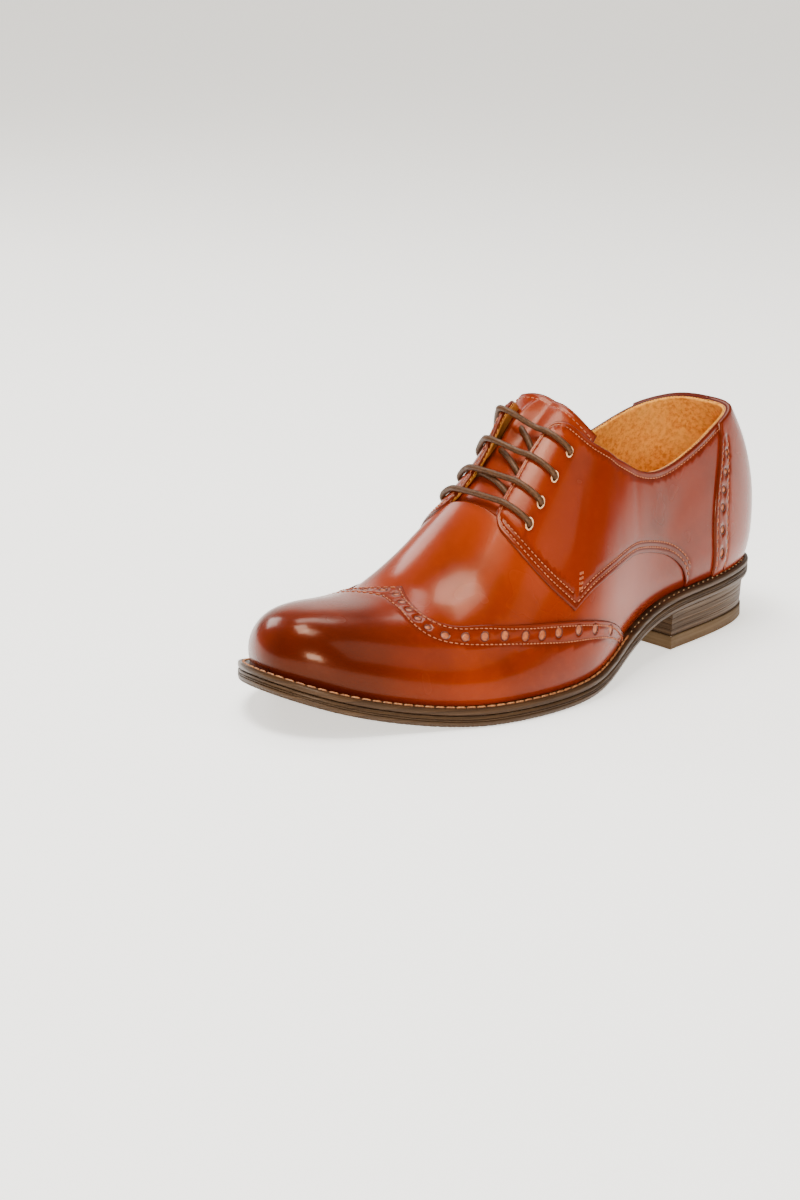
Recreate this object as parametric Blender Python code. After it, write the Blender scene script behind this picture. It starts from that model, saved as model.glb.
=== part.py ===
"""A left men's wing-tip derby shoe, modelled on the form of its last.

Metres, +Z up. The toe points to -Y, the outer (lateral) side is +X, and the origin lies on the
floor under the middle of the sole's outline.
"""

import math

import bmesh
import bpy
import numpy as np
from mathutils import Vector
from mathutils.geometry import delaunay_2d_cdt

# Driving sizes of the last
BODY_LENGTH = 0.290
BALL_WIDTH = 0.101
TOP_HEIGHT = 0.115
BACK_HEIGHT = 0.0735
HEEL_LEAN = 0.0175
UNDERCUT = 0.0022
UNDERCUT_HEIGHT = 0.014
UNDERCUT_WIDTH = 0.020
TOE_TUCK = 0.00088
LEAN_UNTIL = 0.30
TUCK_FROM = 0.90

# Driving sizes of the sole unit
HEEL_HEIGHT = 0.0185
HEEL_PITCH = 0.0023
TOE_SPRING = 0.0158
OUTSOLE_THICKNESS = 0.0050
WELT_THICKNESS = 0.0030
WELT_GRIP = 0.0085
HEEL_LENGTH = 0.0783
HEEL_MARGIN = 0.0010
TOP_LIFT_THICKNESS = 0.0065
FLAT_FROM = 0.64
FLAT_TO = 0.74
SPRING_POWER = 1.9

# Leather
VAMP_WALL = 0.0018
QUARTER_STEP = 0.0012
CAP_THICKNESS = 0.0012
COUNTER_THICKNESS = 0.0012
TONGUE_THICKNESS = 0.0020
INSOLE_THICKNESS = 0.0025
INSOLE_INSET = 0.0083
FACING_FLARE = 0.0040
FLARE_FROM = 0.55
FLARE_TO = 0.88
FLARE_PLACE = 0.505
FLARE_SPREAD = 0.055
STEP_RUN = 0.0009
GAP = 0.0003
TONGUE_GAP = 0.0007

# Tongue, holes and lace
TONGUE_HALF_WIDTH = 0.0255
TONGUE_RISE = 0.0095
TONGUE_NARROW = 0.80
TONGUE_FREE_FROM = 0.80
TONGUE_CORNERS = ((0.90, 1.00), (0.97, 0.95), (1.00, 0.84))
TONGUE_LIFT = (0.0, 0.42, 0.90)
TONGUE_ROWS = 15
TONGUE_COLUMNS = 9
EYELET_RADIUS = 0.0019
LACE_RADIUS = 0.00135
LACE_GAP = 0.0005
LACE_SPAN = 0.0150
CROSS_START = 0.0029
CROSS_END = 0.0017

# How finely the curved pieces are cut
PANEL_PITCH = 0.0086
CLEAR_OF_LINES = 0.45
EDGE_STEPS = 44
LACE_STEPS = 16
LACE_SIDES = 8

# Outline of the last: place along the length, lateral and medial half width by the ball width
OUTLINE = (
    (0.00, 0.000, 0.000),
    (0.02, 0.163, 0.158),
    (0.07, 0.252, 0.246),
    (0.13, 0.298, 0.290),
    (0.22, 0.335, 0.306),
    (0.32, 0.377, 0.290),
    (0.42, 0.462, 0.270),
    (0.52, 0.567, 0.288),
    (0.62, 0.592, 0.355),
    (0.72, 0.552, 0.435),
    (0.80, 0.455, 0.450),
    (0.88, 0.338, 0.400),
    (0.94, 0.250, 0.315),
    (0.98, 0.148, 0.190),
    (1.00, 0.000, 0.000),
)

# Sections: place, ridge height by TOP_HEIGHT, ridge offset by BALL_WIDTH, roundness of the
# lateral side, of the medial side and of the height
SECTIONS = (
    (0.00, 0.930, 0.00, 2.20, 2.20, 2.30),
    (0.10, 0.974, 0.01, 2.20, 2.20, 2.30),
    (0.20, 1.000, 0.02, 2.20, 2.20, 2.30),
    (0.30, 1.000, 0.04, 2.20, 2.20, 2.20),
    (0.40, 0.983, 0.07, 2.15, 2.20, 2.10),
    (0.48, 0.904, 0.08, 2.10, 2.25, 1.95),
    (0.56, 0.774, 0.08, 2.05, 2.30, 1.85),
    (0.63, 0.617, 0.07, 2.05, 2.35, 1.85),
    (0.70, 0.443, 0.05, 2.05, 2.35, 1.90),
    (0.755, 0.348, 0.04, 2.10, 2.35, 2.00),
    (0.80, 0.313, 0.02, 2.15, 2.30, 2.10),
    (0.88, 0.283, -0.01, 2.30, 2.30, 2.20),
    (0.94, 0.243, -0.01, 2.40, 2.40, 2.20),
    (0.98, 0.165, 0.00, 2.40, 2.40, 2.20),
    (1.00, 0.000, 0.00, 2.40, 2.40, 2.20),
)

# Curve of the heel's back: height by BACK_HEIGHT, shift towards the toe by HEEL_LEAN
HEEL_CURVE = (
    (0.00, 0.00),
    (0.20, -0.10),
    (0.38, -0.11),
    (0.60, 0.08),
    (0.82, 0.49),
    (1.00, 1.00),
    (1.45, 2.50),
)

# Underside of the sole behind the flat: place, height by HEEL_HEIGHT, share of HEEL_PITCH
ARCH = (
    (0.00, 1.000, 1.00),
    (0.08, 1.000, 0.75),
    (0.16, 1.000, 0.35),
    (0.24, 1.000, 0.00),
    (0.32, 0.860, 0.00),
    (0.42, 0.490, 0.00),
    (0.52, 0.115, 0.00),
    (0.60, 0.010, 0.00),
    (0.64, 0.000, 0.00),
)

# How far the sole stands out past the last: place, margin
SOLE_MARGIN = (
    (0.00, 0.0034),
    (0.10, 0.0030),
    (0.30, 0.0025),
    (0.50, 0.0025),
    (0.70, 0.0035),
    (0.90, 0.0045),
    (1.00, 0.0050),
)

# Side of the outsole, the welt and the heel: height share, inset
OUTSOLE_SIDE = ((0.00, 0.0012), (0.20, 0.0002), (0.50, 0.0), (0.60, 0.0007), (0.70, 0.0), (1.00, 0.0004))
WELT_SIDE = ((0.00, 0.0005), (0.25, 0.0), (0.80, 0.0), (1.00, 0.0006))
STACK_SIDE = ((0.00, 0.0008), (0.50, 0.0004), (1.00, 0.0))
LIFT_SIDE = ((0.00, 0.0006), (0.12, 0.0), (1.00, 0.0003))

# Collar behind the facings: place, height above the feather edge by BACK_HEIGHT
COLLAR = (
    (0.00, 1.000),
    (0.05, 0.995),
    (0.10, 0.975),
    (0.15, 0.940),
    (0.20, 0.888),
    (0.25, 0.842),
    (0.30, 0.828),
    (0.35, 0.880),
    (0.40, 1.010),
    (0.44, 1.150),
    (0.47, 1.275),
)

# Pattern lines: place, share of the half girth from the feather edge to the ridge
FACING_EDGE = (
    (0.480, 0.805),
    (0.488, 0.862),
    (0.500, 0.896),
    (0.519, 0.901),
    (0.540, 0.895),
    (0.580, 0.869),
    (0.603, 0.856),
    (0.624, 0.835),
)
QUARTER_FRONT = (
    (0.624, 0.835),
    (0.633, 0.795),
    (0.636, 0.712),
    (0.633, 0.607),
    (0.614, 0.419),
    (0.576, 0.262),
)
QUARTER_ARCH = (
    (0.576, 0.262),
    (0.542, 0.272),
    (0.505, 0.259),
    (0.447, 0.216),
    (0.400, 0.183),
    (0.359, 0.150),
    (0.321, 0.120),
    (0.289, 0.093),
    (0.259, 0.060),
    (0.240, 0.030),
    (0.228, 0.000),
)
WING_EDGE = (
    (0.756, 1.000),
    (0.772, 0.900),
    (0.781, 0.790),
    (0.781, 0.690),
    (0.768, 0.588),
    (0.732, 0.495),
    (0.693, 0.404),
    (0.650, 0.322),
    (0.599, 0.255),
    (0.555, 0.206),
    (0.513, 0.154),
    (0.469, 0.085),
    (0.425, 0.000),
)
COUNTER_EDGE = (
    (0.128, 0.352),
    (0.150, 0.253),
    (0.163, 0.173),
    (0.166, 0.100),
    (0.156, 0.000),
)
# Lace holes, top to bottom: place, share of the half girth
EYELETS = ((0.503, 0.717), (0.540, 0.705), (0.575, 0.682), (0.603, 0.662))
TONGUE_ROOT = 0.668
TONGUE_BEND = 0.472

# Colours and finish: red, green, blue, roughness
FINISH = {
    "upper": (0.33, 0.055, 0.010, 0.25),
    "toe_cap": (0.27, 0.040, 0.010, 0.22),
    "heel_counter": (0.30, 0.050, 0.012, 0.25),
    "tongue": (0.42, 0.090, 0.030, 0.35),
    "insole": (0.62, 0.38, 0.16, 0.60),
    "welt": (0.070, 0.036, 0.016, 0.55),
    "outsole": (0.060, 0.036, 0.020, 0.50),
    "heel_stack": (0.085, 0.055, 0.032, 0.50),
    "top_lift": (0.20, 0.15, 0.11, 0.65),
    "lace": (0.045, 0.016, 0.008, 0.45),
}


def unit(place):
    """Turns a place along the length into an even step round the outline, so ends come out round."""
    return np.arccos(np.clip(1 - 2 * np.asarray(place, float), -1, 1)) / math.pi


def place_of(step):
    return (1 - np.cos(math.pi * np.asarray(step, float))) / 2


def natural_spline(xs, ys):
    """A smooth curve through the rows of a table."""
    xs = np.asarray(xs, float)
    ys = np.asarray(ys, float)
    count = len(xs)
    width = np.diff(xs)
    system = np.eye(count)
    right = np.zeros(count)
    for i in range(1, count - 1):
        system[i, i - 1:i + 2] = width[i - 1], 2 * (width[i - 1] + width[i]), width[i]
        right[i] = 6 * ((ys[i + 1] - ys[i]) / width[i] - (ys[i] - ys[i - 1]) / width[i - 1])
    bend = np.linalg.solve(system, right)

    def curve(x):
        x = np.asarray(x, float)
        i = np.clip(np.searchsorted(xs, x) - 1, 0, count - 2)
        d = x - xs[i]
        slope = (ys[i + 1] - ys[i]) / width[i] - width[i] * (2 * bend[i] + bend[i + 1]) / 6
        return ys[i] + slope * d + bend[i] * d ** 2 / 2 + (bend[i + 1] - bend[i]) * d ** 3 / (6 * width[i])

    return curve


def columns(table):
    return np.array(table, float).T


# Curves of the last, read from the tables
PLACES, LATERAL, MEDIAL = columns(OUTLINE)
lateral_half = natural_spline(unit(PLACES), LATERAL * BALL_WIDTH)
medial_half = natural_spline(unit(PLACES), MEDIAL * BALL_WIDTH)
CUTS, RIDGE, SHIFT, ROUND_OUT, ROUND_IN, ROUND_UP = columns(SECTIONS)
ridge_height = natural_spline(unit(CUTS), RIDGE * TOP_HEIGHT)
ridge_shift = natural_spline(unit(CUTS), SHIFT * BALL_WIDTH)
round_lateral = natural_spline(unit(CUTS), ROUND_OUT)
round_medial = natural_spline(unit(CUTS), ROUND_IN)
round_height = natural_spline(unit(CUTS), ROUND_UP)
LEVELS, LEANS = columns(HEEL_CURVE)
heel_lean = natural_spline(LEVELS * BACK_HEIGHT, LEANS * HEEL_LEAN)
ARCH_PLACES, ARCH_HEEL, ARCH_PITCH = columns(ARCH)
arch_height = natural_spline(ARCH_PLACES, ARCH_HEEL * HEEL_HEIGHT + ARCH_PITCH * HEEL_PITCH)
SOLE_TOP = OUTSOLE_THICKNESS + GAP + WELT_THICKNESS


def sole_bottom(place):
    """Height of the tread: heel seat, arch, a flat under the ball, then toe spring."""
    place = np.asarray(place, float)
    rise = TOE_SPRING * np.clip((place - FLAT_TO) / (1 - FLAT_TO), 0, None) ** SPRING_POWER
    return np.where(place < FLAT_FROM, np.maximum(arch_height(place), 0), rise)


def plan_outline(margin=None, steps=EDGE_STEPS):
    """The last's plan as a loop of (x, length from heel), moved outwards by a margin."""
    step = np.linspace(0, 1, steps + 1)
    length = place_of(step) * BODY_LENGTH
    lateral = np.column_stack([lateral_half(step), length])
    medial = np.column_stack([-medial_half(step), length])
    loop = np.vstack([lateral, medial[-2:0:-1]])
    along = np.roll(loop, -1, 0) - np.roll(loop, 1, 0)
    along /= np.linalg.norm(along, axis=1)[:, None]
    outward = np.column_stack([along[:, 1], -along[:, 0]])
    if margin is None:
        places, margins = columns(SOLE_MARGIN)
        margin = np.interp(loop[:, 1] / BODY_LENGTH, places, margins)
    return loop + outward * np.reshape(margin, (-1, 1))


SOLE_LOOP = plan_outline()
MIDDLE_X = (SOLE_LOOP[:, 0].max() + SOLE_LOOP[:, 0].min()) / 2
MIDDLE_LENGTH = (SOLE_LOOP[:, 1].max() + SOLE_LOOP[:, 1].min()) / 2


def to_frame(x, length, z):
    """From the last's own lengths, measured from the heel, to the part's frame."""
    return np.stack([x - MIDDLE_X, MIDDLE_LENGTH - length, z + 0 * x], -1)


def last_point(step, turn):
    """A point of the last. step 0..1 runs heel to toe, turn 0..1 from lateral to medial edge."""
    step = np.asarray(step, float)
    turn = np.asarray(turn, float)
    place = place_of(step)
    lateral = turn < 0.5
    angle = math.pi * np.where(lateral, turn, 1 - turn)
    half = np.where(lateral, lateral_half(step), medial_half(step))
    side = np.where(lateral, 1.0, -1.0)
    roundness = np.where(lateral, round_lateral(step), round_medial(step))
    across = np.clip(np.cos(angle), 0, 1) ** (2 / roundness)
    up = np.clip(np.sin(angle), 0, 1) ** (2 / round_height(step))
    ridge = ridge_shift(step)
    height = ridge_height(step) * up
    fade = np.clip(1 - height / UNDERCUT_HEIGHT, 0, 1) ** 2
    x = ridge + (side * half - ridge) * across - side * UNDERCUT * fade * np.clip(half / UNDERCUT_WIDTH, 0, 1)
    lean = heel_lean(height) * np.clip(1 - place / LEAN_UNTIL, 0, 1) ** 2
    tuck = TOE_TUCK * fade * np.clip((place - TUCK_FROM) / (1 - TUCK_FROM), 0, 1)
    length = place * BODY_LENGTH + lean - tuck
    return to_frame(x, length, sole_bottom(place) + SOLE_TOP + GAP + height)


def last_normal(step, turn):
    """Outward normal of the last, by small steps along its two directions."""
    small = 1e-3
    low = np.clip(step - small, 0, 1 - 2 * small)
    along = last_point(low + 2 * small, turn) - last_point(low, turn)
    first = np.clip(turn - small, 0, 1 - 2 * small)
    around = last_point(step, first + 2 * small) - last_point(step, first)
    normal = np.cross(around, along)
    normal[np.asarray(step) < 1e-6, 0] = 0
    normal[(turn < 1e-3) | (turn > 1 - 1e-3), 2] = 0
    tip = np.asarray(step) > 1 - 1e-6
    normal[tip] = (0, -1, 0)
    size = np.linalg.norm(normal, axis=-1, keepdims=True)
    return normal / np.maximum(size, 1e-12)


# The panels lie in a flat pattern: x along the shoe at a mid height, y the girth from the ridge,
# with the lateral side positive
MID_TURN = 0.16
TABLE_STEPS = np.linspace(0, 1, 121)
TURNS = np.linspace(0, 0.5, 61)


def path_length(points):
    return np.concatenate([[0], np.cumsum(np.linalg.norm(np.diff(points, axis=0), axis=1))])


PATTERN_LENGTH = sum(
    path_length(last_point(TABLE_STEPS, np.full_like(TABLE_STEPS, turn))) for turn in (MID_TURN, 1 - MID_TURN)
) / 2
HALF_GIRTH = np.array([
    (path_length(last_point(np.full_like(TURNS, s), TURNS))[-1]
     + path_length(last_point(np.full_like(TURNS, s), 1 - TURNS))[-1]) / 2
    for s in TABLE_STEPS
])


def to_pattern(place, share, side=1):
    step = unit(place)
    girth = np.interp(step, TABLE_STEPS, HALF_GIRTH)
    return np.stack([np.interp(step, TABLE_STEPS, PATTERN_LENGTH), side * (1 - np.asarray(share)) * girth], -1)


def from_pattern(points):
    step = np.interp(points[:, 0], PATTERN_LENGTH, TABLE_STEPS)
    girth = np.maximum(np.interp(step, TABLE_STEPS, HALF_GIRTH), 1e-6)
    share = np.clip(1 - np.abs(points[:, 1]) / girth, 0, 1)
    turn = np.where(points[:, 1] >= 0, share / 2, 1 - share / 2)
    return step, turn


def facing_flare(step, turn):
    """The inner facing curls up a little along its free edge."""
    share = np.where(turn > 0.5, 2 * (1 - turn), 0)
    near_edge = np.clip((share - FLARE_FROM) / (FLARE_TO - FLARE_FROM), 0, 1)
    near_top = np.exp(-((place_of(step) - FLARE_PLACE) / FLARE_SPREAD) ** 2)
    return FACING_FLARE * near_edge ** 2 * near_top


def girth_share(place, height):
    """The share of the half girth at which a section reaches a height above the feather edge."""
    step = unit(place)
    ratio = np.clip(height / ridge_height(step), 0, 1)
    return np.arcsin(ratio ** (round_height(step) / 2)) * 2 / math.pi


def resample(points, pitch, smooth=True):
    """A pattern line through the table's points, cut into even runs."""
    points = np.asarray(points, float)
    reach = path_length(points)
    fine = np.linspace(0, reach[-1], 200)
    if smooth and len(points) > 2:
        line = np.column_stack([natural_spline(reach, points[:, k])(fine) for k in (0, 1)])
    else:
        line = np.column_stack([np.interp(fine, reach, points[:, k]) for k in (0, 1)])
    reach = path_length(line)
    count = max(2, int(round(reach[-1] / pitch)) + 1)
    even = np.linspace(0, reach[-1], count)
    return np.column_stack([np.interp(even, reach, line[:, k]) for k in (0, 1)])


def table_line(table, pitch=PANEL_PITCH):
    places, shares = columns(table)
    return resample(to_pattern(places, shares), pitch)


def inside(points, polygon):
    """Which points lie in a closed polygon, by counting crossings."""
    result = np.zeros(len(points), bool)
    x, y = points[:, 0], points[:, 1]
    ends = np.roll(polygon, -1, 0)
    for (x0, y0), (x1, y1) in zip(polygon, ends):
        crosses = (y0 > y) != (y1 > y)
        level = np.where(y1 == y0, 1, y1 - y0)
        result ^= crosses & (x < (x1 - x0) * (y - y0) / level + x0)
    return result


def distance_to_lines(points, lines):
    nearest = np.full(len(points), 1.0)
    for line in lines:
        for a, b in zip(line[:-1], line[1:]):
            run = b - a
            share = np.clip((points - a) @ run / max(run @ run, 1e-12), 0, 1)
            away = np.linalg.norm(points - a - share[:, None] * run, axis=1)
            nearest = np.minimum(nearest, away)
    return nearest


def mirrored(line):
    return line * (1, -1)


def shifted(line, distance):
    """A line moved sideways, to the left of its direction when distance is positive."""
    along = np.gradient(line, axis=0)
    along /= np.linalg.norm(along, axis=1)[:, None]
    return line + distance * np.column_stack([-along[:, 1], along[:, 0]])


def circle(centre, radius, sides=8):
    angle = np.linspace(0, 2 * math.pi, sides + 1)
    return centre + radius * np.column_stack([np.cos(angle), np.sin(angle)])


# Lines of the pattern on the lateral side
COLLAR_PLACES, COLLAR_HEIGHTS = columns(COLLAR)
collar_rows = np.column_stack([
    COLLAR_PLACES, girth_share(COLLAR_PLACES, COLLAR_HEIGHTS * BACK_HEIGHT)])
TOP_LINE = resample(
    to_pattern(*np.vstack([collar_rows, np.array(FACING_EDGE)]).T), PANEL_PITCH * 0.7)
FEATHER_STEPS = np.linspace(0, 1, EDGE_STEPS + 1)
FEATHER_LINE = to_pattern(place_of(FEATHER_STEPS), 0 * FEATHER_STEPS)
BACK_LINE = resample(np.array([FEATHER_LINE[0], TOP_LINE[0]]), PANEL_PITCH, smooth=False)
QUARTER_LINE = np.vstack([table_line(QUARTER_FRONT, PANEL_PITCH * 0.6)[:-1], table_line(QUARTER_ARCH)])
VAMP_LINE = shifted(QUARTER_LINE, -STEP_RUN)
VAMP_LINE[0] = QUARTER_LINE[0] + (STEP_RUN, 0)
VAMP_LINE[-1] = to_pattern(QUARTER_ARCH[-1][0] + STEP_RUN / BODY_LENGTH, 0)
WING_LINE = table_line(WING_EDGE, PANEL_PITCH * 0.7)
COUNTER_LINE = table_line(COUNTER_EDGE, PANEL_PITCH * 0.8)
THROAT_LINE = resample(np.array([VAMP_LINE[0], mirrored(VAMP_LINE)[0]]), PANEL_PITCH * 0.7, smooth=False)


def quarter_area():
    rear = FEATHER_LINE[FEATHER_LINE[:, 0] < QUARTER_LINE[-1, 0]]
    return np.vstack([QUARTER_LINE, rear[::-1], BACK_LINE, TOP_LINE])


def panel_mesh():
    """One flat mesh of the whole pattern, with every pattern line among its edges."""
    top = TOP_LINE
    half = np.vstack([BACK_LINE[::-1][:-1], FEATHER_LINE])
    outline = np.vstack([half[:-1], mirrored(half)[::-1], mirrored(top)[1:], THROAT_LINE[::-1], top[::-1][:-1]])
    one_side = [QUARTER_LINE, VAMP_LINE, WING_LINE, COUNTER_LINE]
    holes = [circle(to_pattern(place, share), EYELET_RADIUS) for place, share in EYELETS]
    inner = one_side + holes
    inner += [mirrored(line) for line in inner]
    loop = np.vstack([outline, outline[:1]])
    xs = np.arange(0, PATTERN_LENGTH[-1], PANEL_PITCH * 0.87)
    grid = []
    for row, x in enumerate(xs):
        offset = PANEL_PITCH * (0.5 if row % 2 else 0.0)
        ys = np.arange(offset, HALF_GIRTH.max(), PANEL_PITCH)
        grid += [(x, y) for y in ys] + [(x, -y) for y in ys if y > 0]
    grid = np.array(grid)
    grid = grid[inside(grid, outline)]
    for centre_line in holes:
        for line in (centre_line, mirrored(centre_line)):
            grid = grid[~inside(grid, line)]
    grid = grid[distance_to_lines(grid, inner + [loop]) > PANEL_PITCH * CLEAR_OF_LINES]
    verts, edges = [], []
    for line in inner + [loop]:
        first = len(verts)
        verts += [Vector(p) for p in line]
        edges += [(first + i, first + i + 1) for i in range(len(line) - 1)]
    verts += [Vector(p) for p in grid]
    result = delaunay_2d_cdt(verts, edges, [], 0, 1e-6)
    points = np.array([tuple(v) for v in result[0]])
    faces = np.array(result[2])
    middle = points[faces].mean(1)
    keep = inside(middle, outline)
    for line in holes:
        keep &= ~inside(middle, line) & ~inside(middle, mirrored(line))
    return points, faces[keep]


def both_sides(points, polygon):
    return inside(points, polygon) | inside(points * (1, -1), polygon)


PATTERN, TRIANGLES = panel_mesh()
CENTRES = PATTERN[TRIANGLES].mean(1)
STEPS, TURNINGS = from_pattern(PATTERN)
# the quarter lies on top: its edge and everything behind it is one step higher
ON_EDGE = np.minimum(distance_to_lines(PATTERN, [QUARTER_LINE]),
                     distance_to_lines(PATTERN, [mirrored(QUARTER_LINE)])) < 1e-5
RAISED = both_sides(PATTERN, quarter_area()) | ON_EDGE
ON_TOP = np.minimum(distance_to_lines(PATTERN, [TOP_LINE, BACK_LINE]),
                    distance_to_lines(PATTERN, [mirrored(TOP_LINE), mirrored(BACK_LINE)])) < 1e-5
RAISED |= ON_TOP & (PATTERN[:, 0] < QUARTER_LINE[0, 0] + 1e-5)
REAR_FEATHER = (PATTERN[:, 0] < QUARTER_LINE[-1, 0] + 1e-5) & (TURNINGS * (1 - TURNINGS) < 1e-4)
RAISED |= REAR_FEATHER
FLARE = facing_flare(STEPS, TURNINGS)
NORMALS = last_normal(STEPS, TURNINGS)
POINTS = last_point(STEPS, TURNINGS)


def material(name):
    red, green, blue, roughness = FINISH[name]
    made = bpy.data.materials.get(name) or bpy.data.materials.new(name)
    made.use_nodes = True
    shader = made.node_tree.nodes["Principled BSDF"]
    shader.inputs["Base Color"].default_value = (red, green, blue, 1)
    shader.inputs["Roughness"].default_value = roughness
    shader.inputs["Metallic"].default_value = 0.0
    made.diffuse_color = (red, green, blue, 1)
    return made


def add_object(name, points, faces, finish):
    """Makes one closed object and lets Blender turn its faces outwards."""
    mesh = bpy.data.meshes.new(name)
    mesh.from_pydata([tuple(p) for p in points], [], [tuple(int(i) for i in f) for f in faces])
    shape = bmesh.new()
    shape.from_mesh(mesh)
    bmesh.ops.remove_doubles(shape, verts=shape.verts, dist=2e-6)
    bmesh.ops.dissolve_degenerate(shape, edges=shape.edges, dist=1e-6)
    bmesh.ops.triangulate(shape, faces=shape.faces)
    bmesh.ops.recalc_face_normals(shape, faces=shape.faces)
    if shape.calc_volume(signed=True) < 0:
        bmesh.ops.reverse_faces(shape, faces=shape.faces)
    shape.to_mesh(mesh)
    shape.free()
    mesh.shade_smooth()
    mesh.set_sharp_from_angle(angle=math.radians(40))
    made = bpy.data.objects.new(name, mesh)
    mesh.materials.append(material(finish))
    bpy.context.scene.collection.objects.link(made)
    return made


def shell(name, chosen, outer, inner, finish):
    """A sheet of the pattern's triangles, between two heights over the last."""
    faces = TRIANGLES[chosen]
    used, local = np.unique(faces, return_inverse=True)
    faces = local.reshape(faces.shape)
    count = len(used)
    high = POINTS[used] + NORMALS[used] * outer[used][:, None]
    low = POINTS[used] + NORMALS[used] * inner[used][:, None]
    on_seam = STEPS[used] < 1e-6
    welded = {}
    target = np.arange(count)
    for i in np.nonzero(on_seam)[0]:
        key = round(float(abs(PATTERN[used[i], 1])) * 1e6)
        target[i] = welded.setdefault(key, i)
    faces = target[faces]
    sides = {}
    for a, b, c in faces:
        for edge in ((a, b), (b, c), (c, a)):
            if edge[::-1] in sides:
                del sides[edge[::-1]]
            else:
                sides[edge] = True
    walls = [(a, b, b + count, a + count) for a, b in sides]
    every = [tuple(f) for f in faces] + [tuple(f[::-1] + count) for f in faces] + walls
    return add_object(name, np.vstack([high, low]), every, finish)


def ladder(lateral, medial):
    """Faces across a loop, from each point to its partner on the other side."""
    count = len(lateral)
    return [(lateral[i], lateral[i + 1], medial[i + 1], medial[i]) for i in range(count - 1)]


def plate(name, margin, low, high, side, finish, to_place=1.0):
    """A sole piece: rings of the outline from its lower to its upper face."""
    steps = EDGE_STEPS
    last_step = float(unit(min(to_place, 1.0)))
    rings = []
    for share, inset in side:
        loop = outline_part(margin, inset, last_step, steps)
        place = loop[:, 1] / BODY_LENGTH
        bottom, top = low(place), high(place)
        rings.append(to_frame(loop[:, 0], loop[:, 1], bottom + share * (top - bottom)))
    size = len(rings[0])
    faces = []
    for r in range(len(rings) - 1):
        for i in range(size):
            j = (i + 1) % size
            faces.append((r * size + i, r * size + j, (r + 1) * size + j, (r + 1) * size + i))
    half = (size + 1) // 2 if to_place >= 1.0 else size // 2
    for first in (0, (len(rings) - 1) * size):
        if to_place >= 1.0:
            lateral = [first + i for i in range(half + 1)]
            medial = [first] + [first + size - i for i in range(1, half)] + [first + half]
        else:
            lateral = [first + i for i in range(half + 1)]
            medial = [first] + [first + size - i for i in range(1, half + 1)]
        faces += ladder(lateral, medial)
    return add_object(name, np.vstack(rings), faces, finish)


def outline_part(margin, inset, last_step, steps):
    """The outline as a loop, or only its rear up to a straight cut, lateral side first."""
    if margin is None:
        places, margins = columns(SOLE_MARGIN)
        full = plan_outline()
        shape = plan_outline(np.interp(full[:, 1] / BODY_LENGTH, places, margins) - inset)
    else:
        shape = plan_outline(margin - inset)
    if last_step >= 1.0:
        return shape
    cut = float(place_of(last_step)) * BODY_LENGTH - inset
    count = len(shape) // 2
    lateral = shape[:count + 1]
    medial = np.vstack([shape[:1], shape[:count - 1:-1]])
    sides = []
    for line in (lateral, medial):
        reach = np.linspace(0, 1, 16) ** 1.6
        along = path_length(line)
        end = np.interp(cut, line[:, 1], along)
        sides.append(np.column_stack([np.interp(reach * end, along, line[:, k]) for k in (0, 1)]))
    return np.vstack([sides[0], sides[1][:0:-1]])


def ring_plate(name, inner_inset, low, high, side, finish):
    """The welt: a strip round the last, with the middle open."""
    outer = []
    for share, inset in side:
        loop = outline_part(None, inset, 1.0, EDGE_STEPS)
        place = loop[:, 1] / BODY_LENGTH
        outer.append(to_frame(loop[:, 0], loop[:, 1], low(place) + share * (high(place) - low(place))))
    inner = plan_outline(-inner_inset)
    place = inner[:, 1] / BODY_LENGTH
    rings = outer + [to_frame(inner[:, 0], inner[:, 1], high(place)), to_frame(inner[:, 0], inner[:, 1], low(place))]
    size = len(inner)
    faces = []
    for r in range(len(rings)):
        following = (r + 1) % len(rings)
        for i in range(size):
            j = (i + 1) % size
            faces.append((r * size + i, r * size + j, following * size + j, following * size + i))
    return add_object(name, np.vstack(rings), faces, finish)


def slab(name, top, bottom, finish):
    """A closed sheet between two grids of points."""
    rows, cols = top.shape[:2]
    count = rows * cols
    points = np.vstack([top.reshape(-1, 3), bottom.reshape(-1, 3)])
    faces = []
    for i in range(rows - 1):
        for j in range(cols - 1):
            a = i * cols + j
            quad = (a, a + 1, a + cols + 1, a + cols)
            faces += [quad, tuple(k + count for k in quad[::-1])]
    rim = [j for j in range(cols)]
    rim += [i * cols + cols - 1 for i in range(1, rows)]
    rim += [(rows - 1) * cols + j for j in range(cols - 2, -1, -1)]
    rim += [i * cols for i in range(rows - 2, 0, -1)]
    faces += [(a, b, b + count, a + count) for a, b in zip(rim, rim[1:] + rim[:1])]
    return add_object(name, points, faces, finish)


def build_upper():
    everything = np.ones(len(TRIANGLES), bool)
    outer = FLARE + np.where(RAISED, QUARTER_STEP, 0.0)
    shell("upper", everything, outer, FLARE - VAMP_WALL, "upper")


def build_toe_cap():
    front = FEATHER_LINE[FEATHER_LINE[:, 0] > WING_LINE[-1, 0]]
    middle = np.array([[PATTERN_LENGTH[-1], -1e-4], [WING_LINE[0, 0], -1e-4]])
    area = np.vstack([WING_LINE, front, middle])
    flat = np.full(len(PATTERN), GAP)
    shell("toe_cap", both_sides(CENTRES, area), flat + CAP_THICKNESS, flat, "toe_cap")


def build_heel_counter():
    rear = FEATHER_LINE[FEATHER_LINE[:, 0] < COUNTER_LINE[-1, 0]]
    top = TOP_LINE[TOP_LINE[:, 0] < COUNTER_LINE[0, 0]]
    area = np.vstack([COUNTER_LINE, rear[::-1] - (1e-4, 0), top - (1e-4, 0)])
    flat = np.full(len(PATTERN), QUARTER_STEP + GAP)
    shell("heel_counter", both_sides(CENTRES, area), flat + COUNTER_THICKNESS, flat, "heel_counter")


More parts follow.
